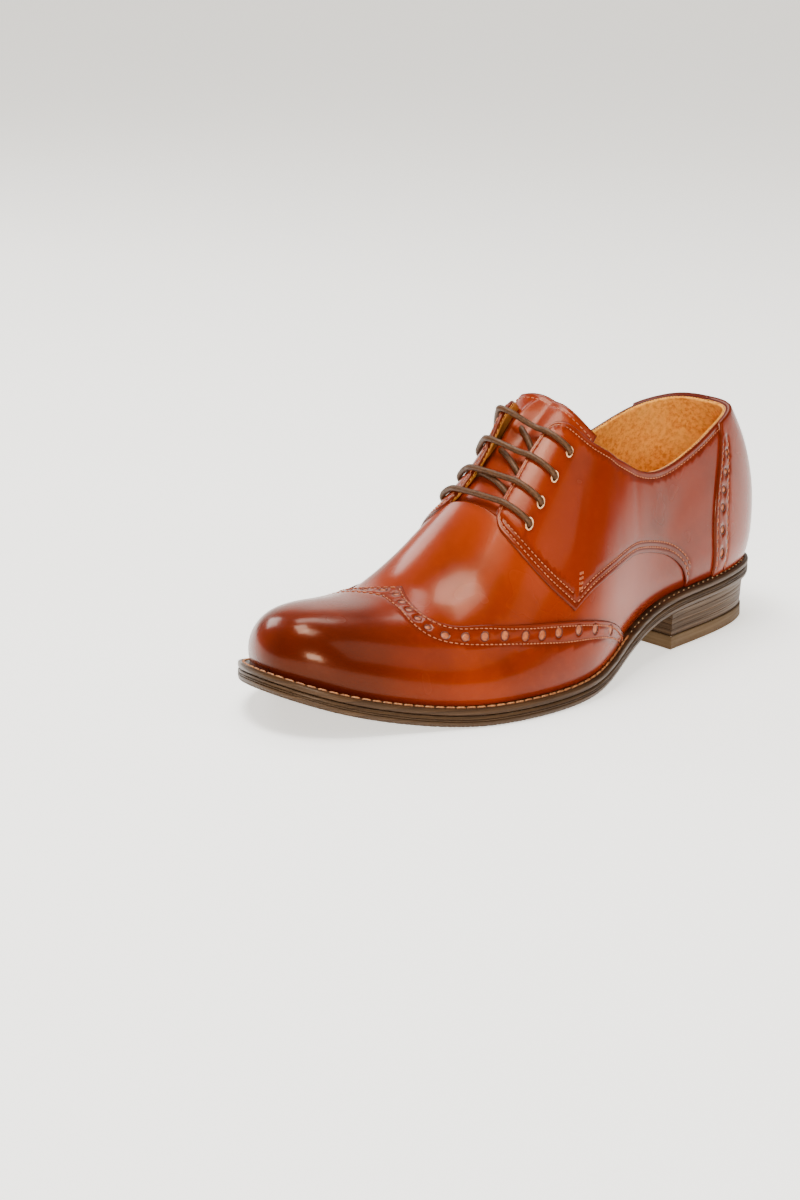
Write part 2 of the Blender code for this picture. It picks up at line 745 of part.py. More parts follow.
def build_tongue():
    """A tongue under the facings that stands up past them at the top."""
    rows, cols = TONGUE_ROWS, TONGUE_COLUMNS
    run = np.linspace(0, 1, rows)[:, None]
    width = np.linspace(-1, 1, cols)[None, :]
    bend = TONGUE_FREE_FROM
    place = TONGUE_ROOT + (TONGUE_BEND - TONGUE_ROOT) * np.clip(run / bend, 0, 1)
    rise = TONGUE_RISE * np.clip((run - bend) / (1 - bend), 0, 1)
    step = unit(place)
    girth = np.interp(step, TABLE_STEPS, HALF_GIRTH)
    half = TONGUE_HALF_WIDTH * (TONGUE_NARROW + (1 - TONGUE_NARROW) * np.clip(run / bend, 0, 1))
    half = half * np.interp(run, *columns(TONGUE_CORNERS))
    turn = np.clip(0.5 - width * half / girth / 2, 0, 1)
    step = np.broadcast_to(step, turn.shape)
    points = last_point(step.ravel(), turn.ravel())
    normals = last_normal(step.ravel(), turn.ravel())
    lift = np.broadcast_to(rise, turn.shape).ravel()[:, None] * np.array(TONGUE_LIFT)
    outer = -(VAMP_WALL + TONGUE_GAP)
    top = points + normals * outer + lift
    bottom = points + normals * (outer - TONGUE_THICKNESS) + lift
    slab("tongue", top.reshape(rows, cols, 3), bottom.reshape(rows, cols, 3), "tongue")


def build_sole():
    """Outsole, welt, insole and the heel's two pieces, all on the same tread line."""
    plate("outsole", None, sole_bottom, lambda p: sole_bottom(p) + OUTSOLE_THICKNESS, OUTSOLE_SIDE, "outsole")
    ring_plate("welt", WELT_GRIP, lambda p: sole_bottom(p) + OUTSOLE_THICKNESS + GAP,
               lambda p: sole_bottom(p) + SOLE_TOP, WELT_SIDE, "welt")
    seat = SOLE_TOP + GAP
    plate("insole", -INSOLE_INSET, lambda p: sole_bottom(p) + seat,
          lambda p: sole_bottom(p) + seat + INSOLE_THICKNESS, ((0.0, 0.0), (1.0, 0.0)), "insole")
    heel_end = HEEL_LENGTH / BODY_LENGTH
    flat = TOP_LIFT_THICKNESS
    plate("heel_stack", HEEL_MARGIN, lambda p: 0 * p + flat + GAP, lambda p: sole_bottom(p) - GAP,
          STACK_SIDE, "heel_stack", to_place=heel_end)
    plate("top_lift", HEEL_MARGIN, lambda p: 0 * p, lambda p: 0 * p + flat,
          LIFT_SIDE, "top_lift", to_place=heel_end)


def tube(name, points, radius, finish):
    """A round cord with flat ends along a line of points."""
    points = np.asarray(points)
    along = np.gradient(points, axis=0)
    along /= np.linalg.norm(along, axis=1)[:, None]
    side = np.cross(along, (0.0, 1.0, 0.3))
    side /= np.linalg.norm(side, axis=1)[:, None]
    other = np.cross(along, side)
    angle = np.linspace(0, 2 * math.pi, LACE_SIDES, endpoint=False)
    rings = [p + radius * (np.outer(np.cos(angle), s) + np.outer(np.sin(angle), o))
             for p, s, o in zip(points, side, other)]
    faces = []
    for r in range(len(rings) - 1):
        for i in range(LACE_SIDES):
            j = (i + 1) % LACE_SIDES
            a, b = r * LACE_SIDES, (r + 1) * LACE_SIDES
            faces.append((a + i, a + j, b + j, b + i))
    faces += [tuple(range(LACE_SIDES)), tuple((len(rings) - 1) * LACE_SIDES + i for i in range(LACE_SIDES))]
    return add_object(name, np.vstack(rings), faces, finish)


def lace_path(first, second, lift, steps=LACE_STEPS, over_facings=True):
    """A line over the last between two pattern points, one on each side."""
    share = np.linspace(0, 1, steps)[:, None]
    flat = first + (second - first) * share
    step, turn = from_pattern(flat)
    points = last_point(step, turn)
    normals = last_normal(step, turn)
    flare = facing_flare(step, turn) * over_facings
    if over_facings:
        between = np.abs(flat[:, 1]) < LACE_SPAN
        order = np.argsort(flat[~between, 1])
        flare[between] = np.interp(flat[between, 1], flat[~between, 1][order], flare[~between][order])
    return points + normals * (lift + flare)[:, None]


def build_laces():
    """Four straight bars over the facings and the slanting runs beneath them."""
    over = QUARTER_STEP + LACE_RADIUS + LACE_GAP
    for number, (place, share) in enumerate(EYELETS, 1):
        hole = to_pattern(place, share)
        tube(f"lace_bar_{number}", lace_path(hole, mirrored(hole), over), LACE_RADIUS, "lace")
    under = -(VAMP_WALL + TONGUE_GAP) + LACE_RADIUS + LACE_GAP
    places, shares = columns(FACING_EDGE)
    for number in range(1, len(EYELETS)):
        upper, lower = EYELETS[number - 1], EYELETS[number]
        start = upper[0] + CROSS_START / BODY_LENGTH
        end = lower[0] - CROSS_END / BODY_LENGTH
        clear = (2.2 * LACE_RADIUS + LACE_GAP) / HALF_GIRTH.max()
        a = to_pattern(start, np.interp(start, places, shares) + clear, -1)
        b = to_pattern(end, np.interp(end, places, shares) + clear, 1)
        tube(f"lace_cross_{number}", lace_path(a, b, under, steps=7, over_facings=False), LACE_RADIUS, "lace")


def clear_scene():
    for item in list(bpy.data.objects):
        bpy.data.objects.remove(item, do_unlink=True)


clear_scene()
build_sole()
build_upper()
build_toe_cap()
build_heel_counter()
build_tongue()
build_laces()
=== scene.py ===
"""Looks of the left wing-tip derby shoe: panels, lining, stitches, punched holes, lace and sole.

Every panel is drawn in one flat pattern and laid over the form of the last, as in the part's source.
Metres, +Z up, toe to -Y, outer (lateral) side +X.
"""

import math

import bpy
import numpy as np
from mathutils import Matrix, Vector
from mathutils.geometry import delaunay_2d_cdt


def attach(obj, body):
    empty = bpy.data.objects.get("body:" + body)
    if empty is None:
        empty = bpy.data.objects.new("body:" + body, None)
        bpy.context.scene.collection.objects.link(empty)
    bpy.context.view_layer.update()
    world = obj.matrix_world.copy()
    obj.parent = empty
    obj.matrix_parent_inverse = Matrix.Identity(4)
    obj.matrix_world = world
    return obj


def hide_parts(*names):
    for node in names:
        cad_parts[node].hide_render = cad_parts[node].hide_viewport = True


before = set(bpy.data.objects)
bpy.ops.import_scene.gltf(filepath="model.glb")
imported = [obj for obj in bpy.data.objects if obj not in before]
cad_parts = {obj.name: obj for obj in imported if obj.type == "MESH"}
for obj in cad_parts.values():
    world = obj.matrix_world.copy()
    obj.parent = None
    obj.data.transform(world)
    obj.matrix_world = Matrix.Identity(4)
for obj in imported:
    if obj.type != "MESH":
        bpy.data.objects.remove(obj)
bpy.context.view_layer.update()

# Sizes of the last and the sole unit, as in the part's source
BODY_LENGTH = 0.290
BALL_WIDTH = 0.101
TOP_HEIGHT = 0.115
BACK_HEIGHT = 0.0735
HEEL_LEAN = 0.0175
UNDERCUT = 0.0022
UNDERCUT_HEIGHT = 0.014
HEEL_HEIGHT = 0.0185
HEEL_PITCH = 0.0023
TOE_SPRING = 0.0158
OUTSOLE_THICKNESS = 0.0050
WELT_THICKNESS = 0.0030
WELT_GRIP = 0.0085
HEEL_LENGTH = 0.0783
HEEL_MARGIN = 0.0010
TOP_LIFT_THICKNESS = 0.0065
FLAT_FROM = 0.64
FLAT_TO = 0.74
SPRING_POWER = 1.9
VAMP_WALL = 0.0018
QUARTER_STEP = 0.0012
CAP_THICKNESS = 0.0012
COUNTER_THICKNESS = 0.0012
TONGUE_THICKNESS = 0.0020
INSOLE_THICKNESS = 0.0025
INSOLE_INSET = 0.0083
FACING_FLARE = 0.0040
INNER_CURL = 0.0050
GAP = 0.0003
TONGUE_GAP = 0.0007
TONGUE_ROOT = 0.668
TONGUE_TOP = 0.461
TONGUE_HEIGHT = 0.070
TONGUE_LATERAL = 0.0460
TONGUE_MEDIAL = 0.0360
TONGUE_SEAM = 0.0032
LACE_RADIUS = 0.00135
LACE_GAP = 0.0005
LACE_SLANT = 0.0095
SOLE_TOP = OUTSOLE_THICKNESS + GAP + WELT_THICKNESS

# Sizes of the finish
FINE = 0.0023
RIM = 0.0007
QUARTER_EDGE = 0.0016
LINING_EDGE = 0.0013
LINING_RIM = 0.0005
EYELET_RADIUS = 0.0019
WING_HOLE = 0.0018
STRIP_HOLE = 0.0012
STITCH_PITCH = 0.0024
STITCH_LENGTH = 0.0016
SEAM_PITCH = 0.0011
SEAM_TRIM = 0.0015
THREAD_RADIUS = 0.00027
WELT_STITCH_PITCH = 0.0046
WELT_STITCH_LENGTH = 0.0040
WELT_THREAD_RADIUS = 0.00050
WELT_DOT_PITCH = 0.0040
WELT_DOT_LENGTH = 0.0009
WELT_DOT_RADIUS = 0.0003
WELT_SEAM_INSET = 0.0023
LONG_STITCHES_FROM = (0.41, 0.47)
CORD_PITCH = 0.00032
CORD_RIPPLE = 0.07
RING_POINTS = 1500
HEEL_POINTS = 220
TREAD_PITCH = 0.0021
HEEL_LAYERS = 4

OUTLINE = (
    (0.00, 0.000, 0.000), (0.02, 0.163, 0.158), (0.07, 0.252, 0.246), (0.13, 0.298, 0.290),
    (0.22, 0.335, 0.306), (0.32, 0.377, 0.290), (0.42, 0.462, 0.270), (0.52, 0.567, 0.288),
    (0.62, 0.592, 0.355), (0.72, 0.552, 0.435), (0.80, 0.455, 0.450), (0.88, 0.338, 0.400),
    (0.94, 0.250, 0.315), (0.98, 0.148, 0.190), (1.00, 0.000, 0.000),
)
SECTIONS = (
    (0.00, 0.930, 0.00, 2.20, 2.20, 2.30),
    (0.10, 0.974, 0.01, 2.20, 2.20, 2.30),
    (0.20, 1.000, 0.02, 2.20, 2.20, 2.30),
    (0.30, 1.000, 0.04, 2.20, 2.20, 2.20),
    (0.40, 0.983, 0.07, 2.15, 2.20, 2.10),
    (0.48, 0.904, 0.08, 2.10, 2.25, 1.95),
    (0.56, 0.774, 0.08, 2.05, 2.30, 1.85),
    (0.63, 0.617, 0.07, 2.05, 2.35, 1.85),
    (0.70, 0.443, 0.05, 2.05, 2.35, 1.90),
    (0.755, 0.348, 0.04, 2.10, 2.35, 2.00),
    (0.80, 0.313, 0.02, 2.15, 2.30, 2.10),
    (0.88, 0.283, -0.01, 2.30, 2.30, 2.20),
    (0.94, 0.243, -0.01, 2.40, 2.40, 2.20),
    (0.98, 0.165, 0.00, 2.40, 2.40, 2.20),
    (1.00, 0.000, 0.00, 2.40, 2.40, 2.20),
)
HEEL_CURVE = (
    (0.00, 0.00), (0.20, -0.10), (0.38, -0.11), (0.60, 0.08), (0.82, 0.49), (1.00, 1.00), (1.45, 2.50),
)
ARCH = (
    (0.00, 1.000, 1.00), (0.08, 1.000, 0.75), (0.16, 1.000, 0.35), (0.24, 1.000, 0.00), (0.32, 0.860, 0.00),
    (0.42, 0.490, 0.00), (0.52, 0.115, 0.00), (0.60, 0.010, 0.00), (0.64, 0.000, 0.00),
)
SOLE_MARGIN = (
    (0.00, 0.0034), (0.10, 0.0030), (0.30, 0.0025), (0.50, 0.0025), (0.70, 0.0035), (0.90, 0.0045),
    (1.00, 0.0050),
)

# Pattern lines: place along the length, share of the half girth from the feather edge to the ridge
COLLAR = (
    (0.00, 1.000), (0.05, 0.995), (0.10, 0.975), (0.15, 0.940), (0.20, 0.888), (0.25, 0.842), (0.30, 0.828),
    (0.35, 0.880), (0.40, 1.010), (0.44, 1.150), (0.47, 1.275),
)
FACING_EDGE = (
    (0.480, 0.805), (0.488, 0.862), (0.500, 0.896), (0.519, 0.901), (0.540, 0.895), (0.580, 0.869),
    (0.603, 0.856), (0.624, 0.835),
)
QUARTER_FRONT = (
    (0.624, 0.835), (0.633, 0.795), (0.636, 0.712), (0.633, 0.607), (0.614, 0.419), (0.576, 0.262),
)
QUARTER_ARCH = (
    (0.576, 0.262), (0.542, 0.272), (0.505, 0.259), (0.447, 0.216), (0.400, 0.183), (0.359, 0.150),
    (0.321, 0.120), (0.289, 0.093), (0.259, 0.060), (0.240, 0.030), (0.228, 0.000),
)
WING_EDGE = (
    (0.756, 1.000), (0.772, 0.900), (0.781, 0.790), (0.781, 0.690), (0.768, 0.588), (0.732, 0.495),
    (0.693, 0.404), (0.650, 0.322), (0.599, 0.255), (0.555, 0.206), (0.513, 0.154), (0.469, 0.085),
    (0.425, 0.000),
)
WING_LOWER = (
    (0.792, 1.000), (0.799, 0.900), (0.804, 0.793), (0.808, 0.616), (0.798, 0.514), (0.764, 0.423),
    (0.711, 0.332), (0.666, 0.259), (0.612, 0.193), (0.520, 0.111), (0.452, 0.020),
)
WING_HOLES = (
    (0.777, 0.958), (0.787, 0.868), (0.793, 0.775), (0.795, 0.680), (0.793, 0.590), (0.778, 0.505),
    (0.753, 0.457), (0.728, 0.412), (0.701, 0.362), (0.672, 0.304), (0.645, 0.265), (0.615, 0.234),
    (0.575, 0.196), (0.538, 0.158), (0.494, 0.102), (0.447, 0.026),
)
SMALL_HOLES = 5
HOLE_LEAN = math.radians(-45)
COUNTER_EDGE = ((0.128, 0.352), (0.150, 0.253), (0.163, 0.173), (0.166, 0.100), (0.156, 0.000))
STRIP_SEAM = ((0.108, 0.350), (0.122, 0.253), (0.130, 0.173), (0.131, 0.100), (0.124, 0.004))
STRIP_HOLES = (
    (0.120, 0.298), (0.132, 0.245), (0.141, 0.198), (0.146, 0.152), (0.146, 0.096), (0.143, 0.043),
)
EYELETS = ((0.503, 0.717), (0.540, 0.705), (0.575, 0.682), (0.603, 0.662))
VAMP_HIDDEN = (
    (0.205, 0.00), (0.225, 0.06), (0.270, 0.13), (0.330, 0.18), (0.410, 0.24), (0.500, 0.32), (0.550, 0.35),
    (0.590, 0.50), (0.600, 0.72), (0.612, 0.80),
)
VAMP_THROAT = (0.626, 0.80)
LINING_SEAM = 0.265
LINING_FRONT = 0.64
BAR_TACK = (0.556, 0.335)

# Soft creases: place, share, side, half length, half width, direction in degrees, depth
CREASES = (
    (0.415, 0.52, 1, 0.030, 0.0045, 62, 0.00045),
    (0.372, 0.44, 1, 0.024, 0.0035, 70, 0.00035),
    (0.470, 0.45, 1, 0.026, 0.0055, 48, -0.00035),
    (0.520, 0.50, 1, 0.022, 0.0040, 38, 0.00030),
    (0.330, 0.36, 1, 0.020, 0.0050, 96, -0.00030),
    (0.415, 0.50, -1, 0.028, 0.0045, 62, 0.00045),
    (0.360, 0.42, -1, 0.024, 0.0040, 74, 0.00035),
    (0.470, 0.42, -1, 0.026, 0.0055, 50, -0.00030),
    (0.700, 0.62, 1, 0.020, 0.0060, 84, 0.00025),
    (0.672, 0.45, -1, 0.018, 0.0060, 96, 0.00025),
    (0.250, 0.22, 1, 0.018, 0.0060, 20, 0.00025),
)


# Form of the last
def unit(place):
    """Turns a place along the length into an even step round the outline, so ends come out round."""
    return np.arccos(np.clip(1 - 2 * np.asarray(place, float), -1, 1)) / math.pi


def place_of(step):
    return (1 - np.cos(math.pi * np.asarray(step, float))) / 2


def natural_spline(xs, ys):
    """A smooth curve through the rows of a table."""
    xs = np.asarray(xs, float)
    ys = np.asarray(ys, float)
    count = len(xs)
    width = np.diff(xs)
    system = np.eye(count)
    right = np.zeros(count)
    for i in range(1, count - 1):
        system[i, i - 1:i + 2] = width[i - 1], 2 * (width[i - 1] + width[i]), width[i]
        right[i] = 6 * ((ys[i + 1] - ys[i]) / width[i] - (ys[i] - ys[i - 1]) / width[i - 1])
    bend = np.linalg.solve(system, right)

    def curve(x):
        x = np.asarray(x, float)
        i = np.clip(np.searchsorted(xs, x) - 1, 0, count - 2)
        d = x - xs[i]
        slope = (ys[i + 1] - ys[i]) / width[i] - width[i] * (2 * bend[i] + bend[i + 1]) / 6
        return ys[i] + slope * d + bend[i] * d ** 2 / 2 + (bend[i + 1] - bend[i]) * d ** 3 / (6 * width[i])

    return curve


def columns(table):
    return np.array(table, float).T


PLACES, LATERAL, MEDIAL = columns(OUTLINE)
lateral_half = natural_spline(unit(PLACES), LATERAL * BALL_WIDTH)
medial_half = natural_spline(unit(PLACES), MEDIAL * BALL_WIDTH)
CUTS, RIDGE, SHIFT, ROUND_OUT, ROUND_IN, ROUND_UP = columns(SECTIONS)
ridge_height = natural_spline(unit(CUTS), RIDGE * TOP_HEIGHT)
ridge_shift = natural_spline(unit(CUTS), SHIFT * BALL_WIDTH)
round_lateral = natural_spline(unit(CUTS), ROUND_OUT)
round_medial = natural_spline(unit(CUTS), ROUND_IN)
round_height = natural_spline(unit(CUTS), ROUND_UP)
LEVELS, LEANS = columns(HEEL_CURVE)
heel_lean = natural_spline(LEVELS * BACK_HEIGHT, LEANS * HEEL_LEAN)
ARCH_PLACES, ARCH_HEEL, ARCH_PITCH = columns(ARCH)
arch_height = natural_spline(ARCH_PLACES, ARCH_HEEL * HEEL_HEIGHT + ARCH_PITCH * HEEL_PITCH)


def sole_bottom(place):
    """Height of the tread: heel seat, arch, a flat under the ball, then toe spring."""
    place = np.asarray(place, float)
    rise = TOE_SPRING * np.clip((place - FLAT_TO) / (1 - FLAT_TO), 0, None) ** SPRING_POWER
    return np.where(place < FLAT_FROM, np.maximum(arch_height(place), 0), rise)


def plan_outline(margin=None, steps=44, inset=0.0):
    """The last's plan as a loop of (x, length from heel), moved outwards by a margin."""
    step = np.linspace(0, 1, steps + 1)
    length = place_of(step) * BODY_LENGTH
    lateral = np.column_stack([lateral_half(step), length])
    medial = np.column_stack([-medial_half(step), length])
    loop = np.vstack([lateral, medial[-2:0:-1]])
    along = np.roll(loop, -1, 0) - np.roll(loop, 1, 0)
    along /= np.linalg.norm(along, axis=1)[:, None]
    outward = np.column_stack([along[:, 1], -along[:, 0]])
    if margin is None:
        places, margins = columns(SOLE_MARGIN)
        margin = np.interp(loop[:, 1] / BODY_LENGTH, places, margins) - inset
    return loop + outward * np.reshape(margin, (-1, 1))


SOLE_LOOP = plan_outline()
MIDDLE_X = (SOLE_LOOP[:, 0].max() + SOLE_LOOP[:, 0].min()) / 2
MIDDLE_LENGTH = (SOLE_LOOP[:, 1].max() + SOLE_LOOP[:, 1].min()) / 2


def to_frame(x, length, z):
    """From the last's own lengths, measured from the heel, to the part's frame."""
    return np.stack([x - MIDDLE_X, MIDDLE_LENGTH - length, z + 0 * x], -1)


def last_point(step, turn):
    """A point of the last. step 0..1 runs heel to toe, turn 0..1 from lateral to medial edge."""
    step = np.asarray(step, float)
    turn = np.asarray(turn, float)
    place = place_of(step)
    lateral = turn < 0.5
    angle = math.pi * np.where(lateral, turn, 1 - turn)
    half = np.where(lateral, lateral_half(step), medial_half(step))
    side = np.where(lateral, 1.0, -1.0)
    roundness = np.where(lateral, round_lateral(step), round_medial(step))
    across = np.clip(np.cos(angle), 0, 1) ** (2 / roundness)
    up = np.clip(np.sin(angle), 0, 1) ** (2 / round_height(step))
    ridge = ridge_shift(step)
    height = ridge_height(step) * up
    fade = np.clip(1 - height / UNDERCUT_HEIGHT, 0, 1) ** 2
    x = ridge + (side * half - ridge) * across - side * UNDERCUT * fade * np.clip(half / 0.02, 0, 1)
    lean = heel_lean(height) * np.clip(1 - place / 0.3, 0, 1) ** 2
    tuck = 0.4 * UNDERCUT * fade * np.clip((place - 0.9) / 0.1, 0, 1)
    length = place * BODY_LENGTH + lean - tuck
    return to_frame(x, length, sole_bottom(place) + SOLE_TOP + GAP + height)


def last_normal(step, turn):
    """Outward normal of the last, by small steps along its two directions."""
    small = 1e-3
    low = np.clip(step - small, 0, 1 - 2 * small)
    along = last_point(low + 2 * small, turn) - last_point(low, turn)
    first = np.clip(turn - small, 0, 1 - 2 * small)
    around = last_point(step, first + 2 * small) - last_point(step, first)
    normal = np.cross(around, along)
    normal[np.asarray(step) < 1e-6, 0] = 0
    normal[(turn < 1e-3) | (turn > 1 - 1e-3), 2] = 0
    tip = np.asarray(step) > 1 - 1e-6
    normal[tip] = (0, -1, 0)
    size = np.linalg.norm(normal, axis=-1, keepdims=True)
    return normal / np.maximum(size, 1e-12)


# Flat pattern: x along the shoe at a mid height, y the girth from the ridge, lateral side positive
MID_TURN = 0.16
TABLE_STEPS = np.linspace(0, 1, 121)
TURNS = np.linspace(0, 0.5, 61)


def path_length(points):
    return np.concatenate([[0], np.cumsum(np.linalg.norm(np.diff(points, axis=0), axis=1))])


PATTERN_LENGTH = sum(
    path_length(last_point(TABLE_STEPS, np.full_like(TABLE_STEPS, turn)))
    for turn in (MID_TURN, 1 - MID_TURN)
) / 2
HALF_GIRTH = np.array([
    (path_length(last_point(np.full_like(TURNS, s), TURNS))[-1]
     + path_length(last_point(np.full_like(TURNS, s), 1 - TURNS))[-1]) / 2
    for s in TABLE_STEPS
])
TOE_X = PATTERN_LENGTH[-1]


def to_pattern(place, share, side=1):
    step = unit(place)
    girth = np.interp(step, TABLE_STEPS, HALF_GIRTH)
    along = np.interp(step, TABLE_STEPS, PATTERN_LENGTH)
    return np.stack([along, side * (1 - np.asarray(share)) * girth], -1)


def from_pattern(points):
    step = np.interp(points[:, 0], PATTERN_LENGTH, TABLE_STEPS)
    girth = np.maximum(np.interp(step, TABLE_STEPS, HALF_GIRTH), 1e-6)
    share = np.clip(1 - np.abs(points[:, 1]) / girth, 0, 1)
    turn = np.where(points[:, 1] >= 0, share / 2, 1 - share / 2)
    return step, turn


def lifted(points, height):
    """Pattern points laid over the last, raised from it by a height."""
    step, turn = from_pattern(points)
    return last_point(step, turn) + last_normal(step, turn) * np.reshape(height, (-1, 1))


def flare_fade(place):
    """The curl is greatest at the top eyelets and dies away along the facing."""
    return np.exp(-((place - 0.505) / 0.055) ** 2)


def facing_flare(points):
    """The inner facing curls up a little along its free edge."""
    step, turn = from_pattern(points)
    share = np.where(turn > 0.5, 2 * (1 - turn), 0)
    near_edge = np.clip((share - 0.55) / 0.33, 0, 1)
    return (FACING_FLARE + INNER_CURL) * near_edge ** 2 * flare_fade(place_of(step))


def girth_share(place, height):
    """The share of the half girth at which a section reaches a height above the feather edge."""
    step = unit(place)
    ratio = np.clip(height / ridge_height(step), 0, 1)
    return np.arcsin(ratio ** (round_height(step) / 2)) * 2 / math.pi


# Lines in the pattern
def along_line(line, where):
    """The points of a line at given lengths along it."""
    reach = path_length(line)
    return np.column_stack([np.interp(where, reach, line[:, k]) for k in range(line.shape[1])])


def resample(points, pitch, smooth=True):
    """A line through the given points, cut into even runs."""
    points = np.asarray(points, float)
    reach = path_length(points)
    fine = np.linspace(0, reach[-1], 400)
    if smooth and len(points) > 2:
        line = np.column_stack([natural_spline(reach, points[:, k])(fine) for k in range(points.shape[1])])
    else:
        line = along_line(points, fine)
    whole = path_length(line)[-1]
    count = max(2, int(round(whole / pitch)) + 1)
    return along_line(line, np.linspace(0, whole, count))


def table_line(table, pitch=FINE):
    places, shares = columns(table)
    return resample(to_pattern(places, shares), pitch)


def inside(points, polygon):
    """Which points lie in a closed polygon, by counting crossings."""
    result = np.zeros(len(points), bool)
    x, y = points[:, 0], points[:, 1]
    ends = np.roll(polygon, -1, 0)
    for (x0, y0), (x1, y1) in zip(polygon, ends):
        crosses = (y0 > y) != (y1 > y)
        level = np.where(y1 == y0, 1, y1 - y0)
        result ^= crosses & (x < (x1 - x0) * (y - y0) / level + x0)
    return result


def distance_to(points, line, reach=0.006):
    """Distance from points to a line, exact up to a reach and larger beyond it."""
    nearest = np.full(len(points), 1.0)
    low = line.min(0) - reach
    high = line.max(0) + reach
    near = np.all((points > low) & (points < high), axis=1)
    close = points[near]
    best = nearest[near]
    for a, b in zip(line[:-1], line[1:]):
        run = b - a
        share = np.clip((close - a) @ run / max(run @ run, 1e-14), 0, 1)
        away = close - a - share[:, None] * run
        best = np.minimum(best, np.hypot(away[:, 0], away[:, 1]))
    nearest[near] = best
    return nearest


def distance_to_lines(points, lines):
    nearest = np.full(len(points), 1.0)
    for line in lines:
        nearest = np.minimum(nearest, distance_to(points, line))
    return nearest


def unchanged(line):
    return line


def mirrored(line):
    return line * (1, -1)


def both(lines):
    return list(lines) + [mirrored(line) for line in lines]


def shifted(line, distance):
    """A line moved sideways, to the left of its direction when distance is positive."""
    along = np.gradient(line, axis=0)
    along /= np.maximum(np.linalg.norm(along, axis=1), 1e-12)[:, None]
    return line + distance * np.column_stack([-along[:, 1], along[:, 0]])


def circle(centre, radius, sides=18, stretch=1.0, lean=0.0):
    """A closed round line, or an oval one whose long axis leans by an angle."""
    angle = np.linspace(0, 2 * math.pi, sides + 1)
    x = stretch * np.cos(angle)
    y = np.sin(angle)
    return centre + radius * np.column_stack([
        x * math.cos(lean) - y * math.sin(lean), x * math.sin(lean) + y * math.cos(lean)])


def inset_lines(loop, distance, outline):
    """Lines just inside an outline, broken where they would cross it."""
    lines = []
    for side in (1, -1):
        moved = shifted(loop, side * distance)
        good = inside(moved, outline) & (distance_to(moved, loop) > 0.9 * distance)
        runs = np.split(np.arange(len(moved)), np.nonzero(np.diff(good))[0] + 1)
        lines += [moved[run] for run in runs if good[run[0]] and len(run) > 1]
    return lines


def stitch_line(line, distance, trim=SEAM_TRIM):
    """A seam beside an edge, clear of its ends."""
    moved = shifted(resample(line, 0.0008, smooth=False), distance)
    reach = path_length(moved)
    kept = (reach > trim) & (reach < reach[-1] - trim)
    return resample(moved[kept], SEAM_PITCH, smooth=False)


def seam_guides(seams):
    """Lines on and beside each seam, so that the mesh follows its groove."""
    return [shifted(line, offset) for line in seams for offset in (-0.0005, 0.0, 0.0005)]


COLLAR_PLACES, COLLAR_HEIGHTS = columns(COLLAR)
collar_rows = np.column_stack([COLLAR_PLACES, girth_share(COLLAR_PLACES, COLLAR_HEIGHTS * BACK_HEIGHT)])
TOP_LINE = resample(to_pattern(*np.vstack([collar_rows, np.array(FACING_EDGE)]).T), FINE * 0.8)
FEATHER_STEPS = np.linspace(0, 1, 161)
FEATHER_LINE = to_pattern(place_of(FEATHER_STEPS), 0 * FEATHER_STEPS)
BACK_LINE = resample(np.array([FEATHER_LINE[0], TOP_LINE[0]]), FINE, smooth=False)
FRONT_LINE = table_line(QUARTER_FRONT, FINE * 0.8)
ARCH_LINE = table_line(QUARTER_ARCH, FINE * 0.8)
QUARTER_LINE = np.vstack([FRONT_LINE[:-1], ARCH_LINE])
WING_LINE = table_line(WING_EDGE, FINE * 0.8)
COUNTER_LINE = table_line(COUNTER_EDGE, FINE * 0.8)

# Seams of the lateral side, in the pattern
WING_SEAMS = [stitch_line(WING_LINE, -0.0014), table_line(WING_LOWER, SEAM_PITCH)]
FACING_STARTS = to_pattern(0.483, 0.8)[0]
FACING_TOP = TOP_LINE[TOP_LINE[:, 0] > FACING_STARTS]
COLLAR_TOP = TOP_LINE[TOP_LINE[:, 0] < FACING_STARTS]
QUARTER_SEAMS = [
    stitch_line(COLLAR_TOP, 0.0022),
    stitch_line(FACING_TOP, 0.0020, trim=0.0002),
    stitch_line(FRONT_LINE, 0.0018),
    stitch_line(FRONT_LINE, 0.0036, trim=0.004),
    stitch_line(ARCH_LINE, 0.0018),
    stitch_line(ARCH_LINE, 0.0036, trim=0.004),
]
STRIP_SEAMS = [stitch_line(COUNTER_LINE, 0.0013), table_line(STRIP_SEAM, SEAM_PITCH)]


# Height fields over the last
def crease_field(points):
    """Soft troughs and ridges laid one by one."""
    total = np.zeros(len(points))
    for place, share, side, long, wide, direction, depth in CREASES:
        centre = to_pattern(place, share, side)
        angle = math.radians(direction) * side
        run = (points - centre) @ (math.cos(angle), math.sin(angle))
        across = (points - centre) @ (-math.sin(angle), math.cos(angle))
        across = across - 6.0 * run ** 2
        total -= depth * np.exp(-(run / long) ** 2 - (across / wide) ** 2)
    return total


def groove_field(points, seams, depth=0.00016, width=0.00045):
    """The leather is pulled in along its seams."""
    near = distance_to_lines(points, seams)
    wide_dip = 0.00010 * np.exp(-(near / 0.0014) ** 2)
    return -depth * np.exp(-(near / width) ** 2) - wide_dip


ALL_WING_SEAMS = both(WING_SEAMS)
ALL_QUARTER_SEAMS = both(QUARTER_SEAMS)
ALL_STRIP_SEAMS = both(STRIP_SEAMS)


def vamp_height(points):
    return crease_field(points)


def quarter_height(points):
    relief = facing_flare(points) + crease_field(points)
    return QUARTER_STEP + relief + groove_field(points, ALL_QUARTER_SEAMS)


def cap_height(points):
    return GAP + CAP_THICKNESS + crease_field(points) + groove_field(points, ALL_WING_SEAMS)


def strip_height(points):
    return QUARTER_STEP + GAP + COUNTER_THICKNESS + groove_field(points, ALL_STRIP_SEAMS)


def lining_height(points):
    return facing_flare(points) - VAMP_WALL


